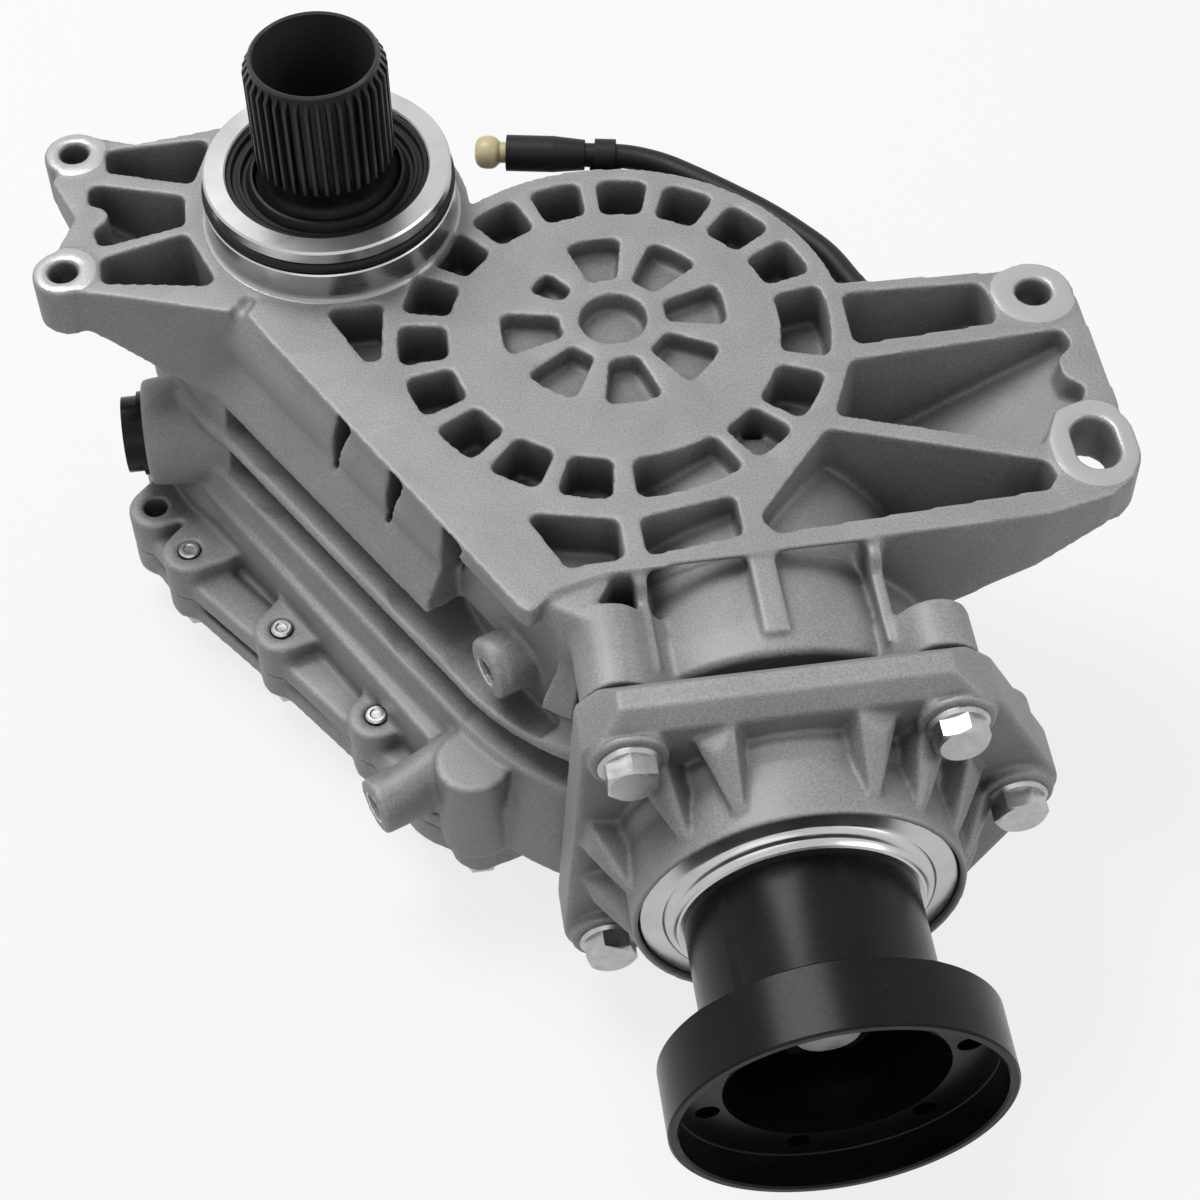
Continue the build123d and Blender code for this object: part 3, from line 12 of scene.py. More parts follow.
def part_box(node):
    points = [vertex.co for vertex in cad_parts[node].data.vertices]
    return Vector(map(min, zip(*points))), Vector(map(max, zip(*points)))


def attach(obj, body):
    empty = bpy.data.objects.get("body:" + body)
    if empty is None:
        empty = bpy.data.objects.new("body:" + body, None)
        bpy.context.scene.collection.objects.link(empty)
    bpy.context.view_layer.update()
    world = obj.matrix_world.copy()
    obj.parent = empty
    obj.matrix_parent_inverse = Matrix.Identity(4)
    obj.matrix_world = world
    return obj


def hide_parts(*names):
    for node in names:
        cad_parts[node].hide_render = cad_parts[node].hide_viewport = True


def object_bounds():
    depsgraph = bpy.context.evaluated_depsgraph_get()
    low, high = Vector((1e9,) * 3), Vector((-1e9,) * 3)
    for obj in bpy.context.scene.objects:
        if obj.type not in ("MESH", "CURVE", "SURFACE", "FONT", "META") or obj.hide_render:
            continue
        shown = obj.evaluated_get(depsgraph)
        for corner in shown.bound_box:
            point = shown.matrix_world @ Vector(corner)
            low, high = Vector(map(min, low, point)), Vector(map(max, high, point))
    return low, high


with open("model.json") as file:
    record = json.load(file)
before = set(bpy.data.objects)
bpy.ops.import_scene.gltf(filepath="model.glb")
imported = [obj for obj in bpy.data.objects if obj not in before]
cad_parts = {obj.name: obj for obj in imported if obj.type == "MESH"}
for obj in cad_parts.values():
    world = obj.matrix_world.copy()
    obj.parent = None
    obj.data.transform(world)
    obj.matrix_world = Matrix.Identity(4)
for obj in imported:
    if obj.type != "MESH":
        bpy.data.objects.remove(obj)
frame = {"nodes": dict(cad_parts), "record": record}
cad_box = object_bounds()
nodes = frame["nodes"]
MM = 0.001

# Camera, fitted to the photograph
camera_place = Vector((6.405, -690.639, 662.413)) * MM
camera_azimuth, camera_elevation, camera_roll = -0.129803, 0.919474, -0.011206
camera_focal_pixels, picture_width = 2589.61, 1200.0
sensor_width = 36.0

# Faces of the case above this height are machined; the ejector pins left round marks on its deck
machined_height = 0.35 * MM
pin_marks = ((14.5, -84.5), (39.5, -132.0), (141.5, -11.0), (88.0, -176.0))
pin_mark_radius, pin_mark_width = 4.7 * MM, 0.35 * MM

# From here on places are in millimetres. Input and output axes, and the way out along the output
up, outward = Vector((0.0, 0.0, 1.0)), Vector((0.0, -1.0, 0.0))
input_centre, output_centre = Vector((0.0, 0.0, 0.0)), Vector((126.0, 0.0, -70.0))

# Side wall, measured along it from the input axis and outwards from there
along_side, out_of_side = Vector((0.52008, -0.85413, 0.0)), Vector((-0.85413, -0.52008, 0.0))
side_start, side_end, side_turn_radius, side_turn_reach = 14.0, 162.0, 100.0, 66.0
side_turn_angle, side_back_angle = math.radians(27.0), math.radians(24.0)
fin_groove_profiles = (((49.0, -45.0), (72.0, -43.2), (74.0, -61.8), (49.0, -60.0)),
                       ((49.0, -67.0), (74.0, -65.2), (76.0, -82.8), (49.0, -81.0)))
rib_gaps = ((79.5, 8.5), (110.5, 8.5), (141.5, 12.0))
boss_room = ((140.5, -40.0), (140.5, -29.0), (152.0, -9.0), (196.0, -9.0), (196.0, -62.0), (150.0, -62.0))

# Tapped bosses of the side wall, from the middle of their faces inwards
boss_inward = Vector((math.cos(math.radians(22.0)), math.sin(math.radians(22.0)), 0.0))
upper_boss, lower_boss = Vector((34.0, -181.5, -43.5)), Vector((-9.0, -190.0, -105.0))

# Split between case and cover, with its screws and its ear
split_level, case_flange_top, cover_flange_low = -128.0, -110.0, -141.0
side_screws = ((-69.0, -60.5), (-36.5, -103.0), (-5.0, -147.0), (27.0, -189.0))
side_screw_hole, ear_hole = 4.3, 4.6
ear = (-81.0, -37.0)

# Pinion housing: across and up for each screw, the face under the heads, and the gussets round the nose
housing_screws = ((73.34, -13.13), (178.16, -12.68), (202.91, -60.42), (164.75, -137.12), (66.37, -119.50))
housing_face = 245.5
gusset_angles = (133.0, 112.0, 67.0, 47.7, 26.0, 7.1, 345.0, 300.0, 219.7, 196.0, 168.0)

# Input sleeve and output flange
spline_teeth, spline_turn = 40, 0.29
flange_bolts, flange_bolt_circle, flange_bolt_radius, flange_bolt_turn = 6, 42.4, 4.0, 16.0


def build_camera():
    """Camera at the photograph's place, from azimuth, elevation and roll."""
    azimuth, elevation, roll = camera_azimuth, camera_elevation, camera_roll
    back = Vector((math.sin(azimuth) * math.cos(elevation), -math.cos(azimuth) * math.cos(elevation),
                   math.sin(elevation)))
    level_right = Vector((math.cos(azimuth), math.sin(azimuth), 0.0))
    level_up = back.cross(level_right)
    right = level_right * math.cos(roll) + level_up * math.sin(roll)
    upright = level_up * math.cos(roll) - level_right * math.sin(roll)
    data = bpy.data.cameras.new("photo_camera")
    data.sensor_width = sensor_width
    data.lens = camera_focal_pixels / picture_width * sensor_width
    data.clip_start, data.clip_end = 0.05, 30.0
    camera = bpy.data.objects.new("photo_camera", data)
    turn = Matrix((right, upright, back)).transposed().to_4x4()
    camera.matrix_world = Matrix.Translation(camera_place) @ turn
    bpy.context.scene.collection.objects.link(camera)
    bpy.context.scene.camera = camera


def area_lamp(name, place, target, size, power):
    """Rectangular lamp that faces its target."""
    data = bpy.data.lights.new(name, "AREA")
    data.shape = "RECTANGLE"
    data.size, data.size_y = size
    data.energy = power
    lamp = bpy.data.objects.new(name, data)
    place, target = Vector(place), Vector(target)
    lamp.matrix_world = Matrix.Translation(place) @ (place - target).to_track_quat("Z", "Y").to_matrix().to_4x4()
    bpy.context.scene.collection.objects.link(lamp)


def background_rays(tree):
    """One for the rays that see the white background: from the camera, mirrored or passed through."""
    path = tree.nodes.new("ShaderNodeLightPath")
    seen = path.outputs["Is Camera Ray"]
    for name in ("Is Glossy Ray", "Is Transmission Ray"):
        either = tree.nodes.new("ShaderNodeMath")
        either.operation = "MAXIMUM"
        tree.links.new(seen, either.inputs[0])
        tree.links.new(path.outputs[name], either.inputs[1])
        seen = either.outputs[0]
    return seen


def build_light():
    """Soft studio light: a key from above and behind, a fill from each side and a pale world."""
    middle = (0.1, -0.12, -0.05)
    area_lamp("key", (-0.45, 0.45, 1.40), middle, (0.9, 0.9), 21.0)
    area_lamp("fill_right", (1.5, -0.5, 0.9), middle, (0.8, 1.2), 6.0)
    area_lamp("fill_front", (-0.4, -1.6, 0.8), middle, (1.2, 0.8), 2.2)
    world = bpy.data.worlds.new("studio")
    bpy.context.scene.world = world
    world.use_nodes = True
    tree = world.node_tree
    tree.nodes.clear()
    out = tree.nodes.new("ShaderNodeOutputWorld")
    seen = tree.nodes.new("ShaderNodeBackground")
    seen.inputs["Color"].default_value = (1.0, 1.0, 1.0, 1.0)
    light = tree.nodes.new("ShaderNodeBackground")
    light.inputs["Color"].default_value = (0.92, 0.95, 1.0, 1.0)
    light.inputs["Strength"].default_value = 0.22
    mix = tree.nodes.new("ShaderNodeMixShader")
    tree.links.new(background_rays(tree), mix.inputs[0])
    tree.links.new(light.outputs[0], mix.inputs[1])
    tree.links.new(seen.outputs[0], mix.inputs[2])
    tree.links.new(mix.outputs[0], out.inputs["Surface"])


def build_floor():
    """Pale floor under the cover, white to the camera apart from the object's shadow."""
    low, high = cad_box
    bpy.ops.mesh.primitive_plane_add(size=8.0, location=((low[0] + high[0]) / 2, (low[1] + high[1]) / 2, low[2]))
    floor = bpy.context.object
    floor.name = "floor"
    bpy.ops.object.transform_apply(location=True, rotation=True, scale=True)
    material = bpy.data.materials.new("floor_white")
    material.use_nodes = True
    tree = material.node_tree
    tree.nodes.clear()
    out = tree.nodes.new("ShaderNodeOutputMaterial")
    matt = tree.nodes.new("ShaderNodeBsdfDiffuse")
    matt.inputs["Color"].default_value = (0.8, 0.8, 0.8, 1.0)
    glow = tree.nodes.new("ShaderNodeEmission")
    glow.inputs["Color"].default_value = (1.0, 1.0, 1.0, 1.0)
    glow.inputs["Strength"].default_value = 1.0
    both = tree.nodes.new("ShaderNodeMixShader")
    mix = tree.nodes.new("ShaderNodeMixShader")
    both.inputs[0].default_value = 0.8
    bounce = tree.nodes.new("ShaderNodeBsdfDiffuse")
    bounce.inputs["Color"].default_value = (0.42, 0.42, 0.42, 1.0)
    tree.links.new(matt.outputs[0], both.inputs[1])
    tree.links.new(glow.outputs[0], both.inputs[2])
    tree.links.new(background_rays(tree), mix.inputs[0])
    tree.links.new(bounce.outputs[0], mix.inputs[1])
    tree.links.new(both.outputs[0], mix.inputs[2])
    tree.links.new(mix.outputs[0], out.inputs["Surface"])
    floor.data.materials.append(material)


class Shading:
    """Node tree of one material, with short helpers for the patterns on Object coordinates."""

    def __init__(self, name):
        self.material = bpy.data.materials.new(name)
        self.material.use_nodes = True
        self.tree = self.material.node_tree
        self.shader = self.tree.nodes["Principled BSDF"]
        self.coordinates = self.tree.nodes.new("ShaderNodeTexCoord").outputs["Object"]

    def link(self, source, target):
        self.tree.links.new(source, target)

    def noise(self, scale, detail=2.0, roughness=0.5, stretch=None):
        texture = self.tree.nodes.new("ShaderNodeTexNoise")
        texture.inputs["Scale"].default_value = scale
        texture.inputs["Detail"].default_value = detail
        texture.inputs["Roughness"].default_value = roughness
        if stretch:
            mapping = self.tree.nodes.new("ShaderNodeMapping")
            mapping.inputs["Scale"].default_value = stretch
            self.link(self.coordinates, mapping.inputs["Vector"])
            self.link(mapping.outputs["Vector"], texture.inputs["Vector"])
        else:
            self.link(self.coordinates, texture.inputs["Vector"])
        return texture.outputs["Fac"]

    def ramp(self, value, stops):
        ramp = self.tree.nodes.new("ShaderNodeValToRGB")
        ramp.color_ramp.elements[0].position, ramp.color_ramp.elements[0].color = stops[0]
        ramp.color_ramp.elements[1].position, ramp.color_ramp.elements[1].color = stops[-1]
        for position, colour in stops[1:-1]:
            ramp.color_ramp.elements.new(position).color = colour
        self.link(value, ramp.inputs["Fac"])
        return ramp.outputs["Color"]

    def math(self, operation, first, second=None):
        node = self.tree.nodes.new("ShaderNodeMath")
        node.operation = operation
        for socket, value in ((node.inputs[0], first), (node.inputs[1], second)):
            if value is None:
                continue
            if isinstance(value, (int, float)):
                socket.default_value = value
            else:
                self.link(value, socket)
        return node.outputs[0]

    def mix(self, factor, first, second):
        node = self.tree.nodes.new("ShaderNodeMix")
        node.data_type = "RGBA"
        self.link(factor, node.inputs["Factor"])
        for socket, value in ((node.inputs["A"], first), (node.inputs["B"], second)):
            if isinstance(value, tuple):
                socket.default_value = value
            else:
                self.link(value, socket)
        return node.outputs["Result"]

    def multiply(self, first, second, amount):
        node = self.tree.nodes.new("ShaderNodeMix")
        node.data_type, node.blend_type = "RGBA", "MULTIPLY"
        node.inputs["Factor"].default_value = amount
        self.link(first, node.inputs["A"])
        self.link(second, node.inputs["B"])
        return node.outputs["Result"]

    def separate(self):
        node = self.tree.nodes.new("ShaderNodeSeparateXYZ")
        self.link(self.coordinates, node.inputs[0])
        return node.outputs

    def bump(self, height, strength, distance, below=None):
        node = self.tree.nodes.new("ShaderNodeBump")
        node.inputs["Strength"].default_value = strength
        node.inputs["Distance"].default_value = distance
        self.link(height, node.inputs["Height"])
        if below is not None:
            self.link(below, node.inputs["Normal"])
        return node.outputs["Normal"]


def grey(value, warmth=0.0):
    """Opaque grey as a colour, a little warmer or cooler."""
    return (value * (1.0 + warmth), value, value * (1.0 - warmth), 1.0)


def cast_aluminium(name, machined_faces):
    """Shot-blasted casting: fine grain, soft blotches, edges painted bright as wear and painted highlight, and
    creases and hollows darkened as painted shade.

    With machined faces, what stands proud of the deck is bright from the cutter, and the deck has faint round
    marks of the ejector pins.
    """
    s = Shading(name)
    s.shader.inputs["Metallic"].default_value = 0.25
    blotches = s.noise(38.0, 3.0, 0.55)
    grain = s.noise(1250.0, 2.0, 0.65)
    tone = s.ramp(blotches, [(0.30, grey(0.290, 0.010)), (0.70, grey(0.340, 0.010))])
    fine = s.ramp(grain, [(0.33, grey(0.68)), (0.67, grey(1.08))])
    cast = s.multiply(tone, fine, 0.9)
    # Painted highlight and shade from pointiness: convex edges lighter, partly real wear and partly painted
    # highlight; concave creases and the grooves between the fins darker as painted shade
    worn_edges_and_crease_shade = s.ramp(s.tree.nodes.new("ShaderNodeNewGeometry").outputs["Pointiness"],
                  [(0.44, grey(0.50)), (0.495, grey(0.92)), (0.56, grey(1.32))])
    cast = s.multiply(cast, worn_edges_and_crease_shade, 0.85)
    # Painted shade: ambient occlusion darkens pockets, recesses and the grooves between the fins in the base colour
    painted_hollow_shade = s.tree.nodes.new("ShaderNodeAmbientOcclusion")
    painted_hollow_shade.samples = 6
    painted_hollow_shade.inputs["Distance"].default_value = 0.018
    cast = s.multiply(cast, s.ramp(painted_hollow_shade.outputs["AO"], [(0.15, grey(0.34)), (0.85, grey(1.0))]), 1.0)
    rough = s.ramp(grain, [(0.3, grey(0.46)), (0.7, grey(0.62))])
    soft = s.bump(blotches, 0.12, 0.0012)
    surface = s.bump(grain, 0.45, 0.00025, soft)
    if machined_faces:
        places = s.separate()
        faces = s.math("GREATER_THAN", places["Z"], machined_height)
        s.link(s.mix(faces, cast, grey(0.46)), s.shader.inputs["Base Color"])
        s.link(s.mix(faces, rough, grey(0.3)), s.shader.inputs["Roughness"])
        mark = None
        for x, y in pin_marks:
            reach = s.math("SQRT", s.math("ADD", s.math("POWER", s.math("SUBTRACT", places["X"], x * MM), 2.0),
                                          s.math("POWER", s.math("SUBTRACT", places["Y"], y * MM), 2.0)))
            line = s.math("LESS_THAN", s.math("ABSOLUTE", s.math("SUBTRACT", reach, pin_mark_radius)), pin_mark_width)
            mark = line if mark is None else s.math("MAXIMUM", mark, line)
        surface = s.bump(mark, 0.25, -0.0003, surface)
    else:
        s.link(cast, s.shader.inputs["Base Color"])
        s.link(rough, s.shader.inputs["Roughness"])
    s.link(surface, s.shader.inputs["Normal"])
    return s.material


def machined_aluminium():
    """Turned aluminium with fine concentric tool marks."""
    s = Shading("machined_aluminium")
    s.shader.inputs["Metallic"].default_value = 1.0
    s.shader.inputs["Base Color"].default_value = (0.50, 0.50, 0.505, 1.0)
    marks = s.noise(1.0, 3.0, 0.6, stretch=(40.0, 40.0, 2600.0))
    s.link(s.ramp(marks, [(0.3, grey(0.24)), (0.7, grey(0.36))]), s.shader.inputs["Roughness"])
    s.link(s.bump(marks, 0.12, 0.0001), s.shader.inputs["Normal"])
    return s.material


def black_steel():
    """Phosphated and oiled steel, nearly black with soft gloss and a few pale specks."""
    s = Shading("black_steel")
    s.shader.inputs["Specular IOR Level"].default_value = 0.15
    cloud = s.noise(60.0, 3.0, 0.55)
    specks = s.ramp(s.noise(520.0, 1.0, 0.5), [(0.80, grey(0.0)), (0.84, grey(1.0))])
    speck = s.tree.nodes.new("ShaderNodeSeparateColor")
    s.link(specks, speck.inputs[0])
    s.link(s.mix(speck.outputs[0], s.ramp(cloud, [(0.3, grey(0.004)), (0.7, grey(0.007))]), grey(0.05)),
           s.shader.inputs["Base Color"])
    grain = s.noise(900.0, 2.0, 0.6)
    s.link(s.ramp(grain, [(0.3, grey(0.22)), (0.7, grey(0.30))]), s.shader.inputs["Roughness"])
    s.link(s.bump(grain, 0.04, 0.0001), s.shader.inputs["Normal"])
    return s.material


def zinc_plate():
    """Bright zinc on the screws."""
    s = Shading("zinc_plate")
    s.shader.inputs["Metallic"].default_value = 1.0
    cloud = s.noise(220.0, 3.0, 0.6)
    plated = s.ramp(cloud, [(0.3, (0.38, 0.38, 0.38, 1)), (0.7, (0.52, 0.52, 0.51, 1))])
    s.link(plated, s.shader.inputs["Base Color"])
    s.link(s.ramp(cloud, [(0.3, grey(0.24)), (0.7, grey(0.36))]), s.shader.inputs["Roughness"])
    s.link(s.bump(s.noise(1300.0), 0.12, 0.0001), s.shader.inputs["Normal"])
    return s.material


def black_rubber():
    """Matt rubber and plastic of the hose, the seals and the clip."""
    s = Shading("black_rubber")
    grain = s.noise(1200.0, 2.0, 0.6)
    s.link(s.ramp(grain, [(0.3, grey(0.006)), (0.7, grey(0.011))]), s.shader.inputs["Base Color"])
    s.shader.inputs["Specular IOR Level"].default_value = 0.22
    s.link(s.ramp(grain, [(0.3, grey(0.38)), (0.7, grey(0.55))]), s.shader.inputs["Roughness"])
    s.link(s.bump(grain, 0.15, 0.0001), s.shader.inputs["Normal"])
    return s.material


def ivory_plastic():
    """Natural nylon of the breather's cap."""
    s = Shading("ivory_plastic")
    cloud = s.noise(150.0)
    nylon = s.ramp(cloud, [(0.3, (0.56, 0.47, 0.26, 1)), (0.7, (0.66, 0.56, 0.33, 1))])
    s.link(nylon, s.shader.inputs["Base Color"])
    s.link(s.ramp(cloud, [(0.3, grey(0.34)), (0.7, grey(0.44))]), s.shader.inputs["Roughness"])
    s.shader.inputs["Subsurface Weight"].default_value = 0.15
    s.shader.inputs["Subsurface Radius"].default_value = (0.004, 0.003, 0.002)
    s.shader.inputs["Subsurface Scale"].default_value = 0.3
    return s.material


def spline_steel():
    """Dark phosphated steel of the sleeve, its tooth edges painted bright: partly rubbed wear, partly painted
    highlight.
    """
    s = Shading("spline_steel")
    s.shader.inputs["Specular IOR Level"].default_value = 0.22
    cloud = s.noise(90.0, 3.0, 0.6)
    base = s.ramp(cloud, [(0.3, grey(0.005)), (0.7, grey(0.010))])
    # Tooth edges and chamfers painted bright from pointiness: partly rubbed wear, partly painted highlight
    rubbed_and_highlit_edges = s.ramp(s.tree.nodes.new("ShaderNodeNewGeometry").outputs["Pointiness"],
                    [(0.50, grey(0.0)), (0.58, grey(1.0))])
    edge = s.tree.nodes.new("ShaderNodeSeparateColor")
    s.link(rubbed_and_highlit_edges, edge.inputs[0])
    s.link(s.mix(edge.outputs[0], base, grey(0.06)), s.shader.inputs["Base Color"])
    s.link(s.ramp(cloud, [(0.3, grey(0.26)), (0.7, grey(0.38))]), s.shader.inputs["Roughness"])
    return s.material


def pressed_zinc():
    """Bright zinc of the pressed shield."""
    s = Shading("pressed_zinc")
    s.shader.inputs["Metallic"].default_value = 1.0
    cloud = s.noise(60.0, 3.0, 0.6)
    s.link(s.ramp(cloud, [(0.3, grey(0.46)), (0.7, grey(0.56))]), s.shader.inputs["Base Color"])
    s.link(s.ramp(cloud, [(0.3, grey(0.20)), (0.7, grey(0.30))]), s.shader.inputs["Roughness"])
    return s.material


def ground_steel():
    """Ground steel of the shafts, gears and bearings inside."""
    s = Shading("ground_steel")
    s.shader.inputs["Metallic"].default_value = 1.0
    cloud = s.noise(90.0)
    s.link(s.ramp(cloud, [(0.3, grey(0.38)), (0.7, grey(0.48))]), s.shader.inputs["Base Color"])
    s.link(s.ramp(cloud, [(0.3, grey(0.22)), (0.7, grey(0.32))]), s.shader.inputs["Roughness"])
    return s.material


def paint(obj, material):
    """Gives an object one material in all its slots."""
    obj.data.materials.clear()
    obj.data.materials.append(material)


def alone(obj):
    """Makes one object the active one and the only one selected."""
    bpy.ops.object.select_all(action="DESELECT")
    obj.select_set(True)
    bpy.context.view_layer.objects.active = obj


def apply_modifier(obj, kind, **settings):
    """Adds one modifier and applies it."""
    alone(obj)
    modifier = obj.modifiers.new(kind.lower(), kind)
    for key, value in settings.items():
        setattr(modifier, key, value)
    bpy.ops.object.modifier_apply(modifier=modifier.name)


def edit_all(obj):
    """Edit mode with the whole mesh selected."""
    alone(obj)
    bpy.ops.object.mode_set(mode="EDIT")
    bpy.ops.mesh.select_all(action="SELECT")


def drawn_outline(name, points):
    """Closed outline, drawn corner by corner from a square merged to one point. Left in edit mode."""
    corners = [Vector(point) * MM for point in points]
    bpy.ops.object.select_all(action="DESELECT")
    bpy.ops.mesh.primitive_plane_add(size=1.0 * MM, location=corners[0])
    obj = bpy.context.object
    obj.name = obj.data.name = name
    bpy.ops.object.transform_apply(location=True, rotation=True, scale=True)
    bpy.ops.object.mode_set(mode="EDIT")
    bpy.ops.mesh.select_all(action="SELECT")
    bpy.ops.mesh.merge(type="CENTER")
    for before, after in zip(corners, corners[1:]):
        bpy.ops.mesh.extrude_vertices_move(TRANSFORM_OT_translate={"value": after - before})
    bpy.ops.object.mode_set(mode="OBJECT")
    for vertex in obj.data.vertices:
        vertex.select = vertex.index in (0, len(corners) - 1)
    bpy.ops.object.mode_set(mode="EDIT")
    bpy.ops.mesh.edge_face_add()
    bpy.ops.mesh.select_all(action="SELECT")
    return obj


def close_up(obj):
    """Merges doubles, turns the faces outwards and leaves edit mode."""
    bpy.ops.mesh.select_all(action="SELECT")
    bpy.ops.mesh.remove_doubles(threshold=0.000002)
    bpy.ops.mesh.normals_make_consistent(inside=False)
    bpy.ops.object.mode_set(mode="OBJECT")
    return obj


def across(axis):
    """A direction at right angles to an axis."""
    return Vector((1.0, 0.0, 0.0)) if abs(axis.x) < 0.5 else Vector((0.0, 0.0, 1.0))


def spun(name, centre, axis, profile, steps=128):
    """Turned piece from its closed half section of radius and distance along the axis."""
    centre, axis = Vector(centre), Vector(axis)
    side = across(axis)
    obj = drawn_outline(name, [centre + side * radius + axis * distance for radius, distance in profile])
    bpy.ops.mesh.spin(steps=steps, angle=2.0 * math.pi, center=centre * MM, axis=axis, use_auto_merge=True)
    return close_up(obj)


def slab(name, points, reach):
    """Flat outline drawn out along a vector."""
    obj = drawn_outline(name, points)
    bpy.ops.mesh.edge_face_add()
    bpy.ops.mesh.extrude_region_move(TRANSFORM_OT_translate={"value": Vector(reach) * MM})
    return close_up(obj)


def rod(name, start, axis, radius, length, vertices=48):
    """Round rod from a point along an axis."""
    axis = Vector(axis).normalized()
    bpy.ops.object.select_all(action="DESELECT")
    bpy.ops.mesh.primitive_cylinder_add(vertices=vertices, radius=radius * MM, depth=length * MM,
                                        location=(Vector(start) + axis * (length / 2)) * MM,
                                        rotation=axis.to_track_quat("Z", "Y").to_euler())
    obj = bpy.context.object
    obj.name = obj.data.name = name
    bpy.ops.object.transform_apply(location=True, rotation=True, scale=True)
    return obj


def block(name, low, high):
    """Upright block between two corners."""
    low, high = Vector(low), Vector(high)
    bpy.ops.object.select_all(action="DESELECT")
    bpy.ops.mesh.primitive_cube_add(size=1.0, location=(low + high) / 2 * MM)
    obj = bpy.context.object
    obj.name = obj.data.name = name
    obj.scale = (high - low) * MM
    bpy.ops.object.transform_apply(location=True, rotation=True, scale=True)
    return obj


def joined(name, pieces):
    """Several meshes in one object."""
    bpy.ops.object.select_all(action="DESELECT")
    for piece in pieces:
        piece.select_set(True)
    bpy.context.view_layer.objects.active = pieces[0]
    bpy.ops.object.join()
    pieces[0].name = pieces[0].data.name = name
    return pieces[0]


def skinned(name, pieces):
    """Taut skin round several meshes."""
    obj = joined(name, pieces)
    edit_all(obj)
    bpy.ops.mesh.convex_hull()
    return close_up(obj)


def side_place(distance, out, height):
    """Point of the side wall, from its distance along the wall, outwards and up."""
    return along_side * distance + out_of_side * out + up * height


def side_groove(name, profile):
    """Groove of one section along the whole side wall: straight, and turned round at both ends."""
    turn_centre = along_side * side_end + out_of_side * (side_turn_reach - side_turn_radius)
    start = [side_place(side_start, out, height) for out, height in profile]
    end = [side_place(side_end, out, height) for out, height in profile]
    straight = slab(name, start, along_side * (side_end - side_start))
    turns = []
    for points, centre, angle in ((start, input_centre, -side_back_angle), (end, turn_centre, side_turn_angle)):
        turn = drawn_outline(name + "_turn", points)
        bpy.ops.mesh.edge_face_add()
        bpy.ops.mesh.spin(steps=10, angle=angle, center=centre * MM, axis=up)
        turns.append(close_up(turn))
    return joined(name, [straight] + turns)


def flange_lugs(places, low, height):
    """Lugs of the split flange, each blended into the wall behind its screw."""
    lugs = []
    for x, y in places:
        outer = rod("lug", (x, y, low), up, 10.5, height)
        root = Vector((x, y, low)) - out_of_side * 11.0
        lugs.append(skinned("lug", [outer, rod("lug_root", root, up, 13.5, height)]))
    # Lower strip between neighbouring lugs
    places = sorted(places, key=lambda place: -place[1])
    for (x0, y0), (x1, y1) in zip(places, places[1:]):
        ends = [rod("strip_end", (x, y, low), up, 7.5, height * 0.55) for x, y in ((x0, y0), (x1, y1))]
        lugs.append(skinned("lug_strip", ends))
    return lugs


def main_case_forms():
    """Forms that the casting gains: lugs, the web of its lower boss, the front post, a rib and the bell."""
    forms = flange_lugs(side_screws + (ear,), split_level, case_flange_top - split_level)
    web_foot = lower_boss + boss_inward * 34.0 + up * 12.0
    forms.append(skinned("boss_web", [rod("web", lower_boss + boss_inward * 5.0, boss_inward, 9.5, 8.0),
                                      rod("web", web_foot, boss_inward, 7.0, 8.0)]))
    post = Vector((27.0, -189.0, split_level))
    shoulder = post + Vector((20.0, 13.0, 0.0))
    forms.append(skinned("front_post", [rod("post", post, up, 12.5, 30.0), rod("post", shoulder, up, 15.0, 38.0)]))
    forms.append(block("wide_rib", (122.0, -209.0, -30.0), (131.0, -178.0, -1.4)))
    bell_section = ((56.0, 172.0), (62.0, 172.0), (64.5, 190.0), (66.0, 203.0), (66.0, 214.0), (64.0, 216.0),
                    (56.0, 216.0))
    forms.append(spun("neck_bell", output_centre, outward, bell_section, 96))
    return forms


def main_case_spaces():
    """Room that the casting loses: grooves between its fins, gaps between its short ribs, room round a boss."""
    spaces = [side_groove("fin_groove", profile) for profile in fin_groove_profiles]
    gap_out, gap_reach, boss_out, boss_reach, kept_radius = 48.0, 24.0, 52.0, 30.0, 11.5
    for distance, width in rib_gaps:
        corners = ((distance, -2.0), (distance + width, -2.0), (distance + 0.5, -29.0), (distance - 1.0, -29.0))
        spaces.append(slab("rib_gap", [side_place(along, gap_out, height) for along, height in corners],
                           out_of_side * gap_reach))
    room = slab("boss_room", [side_place(along, boss_out, height) for along, height in boss_room],
                out_of_side * boss_reach)
    kept = rod("kept_boss", upper_boss, boss_inward, kept_radius, 40.0)
    apply_modifier(room, "BOOLEAN", operation="DIFFERENCE", object=kept, solver="EXACT")
    bpy.data.objects.remove(kept)
    spaces.append(room)
    return spaces + flange_holes(side_screws, side_screw_hole) + flange_holes((ear,), ear_hole)


def flange_holes(places, radius):
    """Holes through both halves of the split flange."""
    return [rod("hole", (x, y, cover_flange_low - 2.0), up, radius, case_flange_top - cover_flange_low + 4.0, 32)
            for x, y in places]


def housing_spaces():
    """Room over the bevelled top edges and the cut corners of the flange of the housing."""
    left, right, back, front, top = 58.0, 194.0, -220.0, -243.0, 6.0
    edge_start, edge_reach, corner_reach = 60.0, Vector((132.0, 0.0, 0.0)), Vector((0.0, -27.0, 0.0))
    front_edge = [(edge_start, -234.5, 5.0), (edge_start, front, 5.0), (edge_start, front, -4.5)]
    back_edge = [(edge_start, -221.5, 5.0), (edge_start, -221.5, -4.0), (edge_start, -229.5, 5.0)]
    left_corner = [(left, back, -10.0), (left, back, top), (74.0, back, top)]
    right_corner = [(right, back, -10.0), (right, back, top), (175.0, back, top)]
    return [slab("front_edge", front_edge, edge_reach), slab("back_edge", back_edge, edge_reach),
            slab("left_corner", left_corner, corner_reach), slab("right_corner", right_corner, corner_reach)]


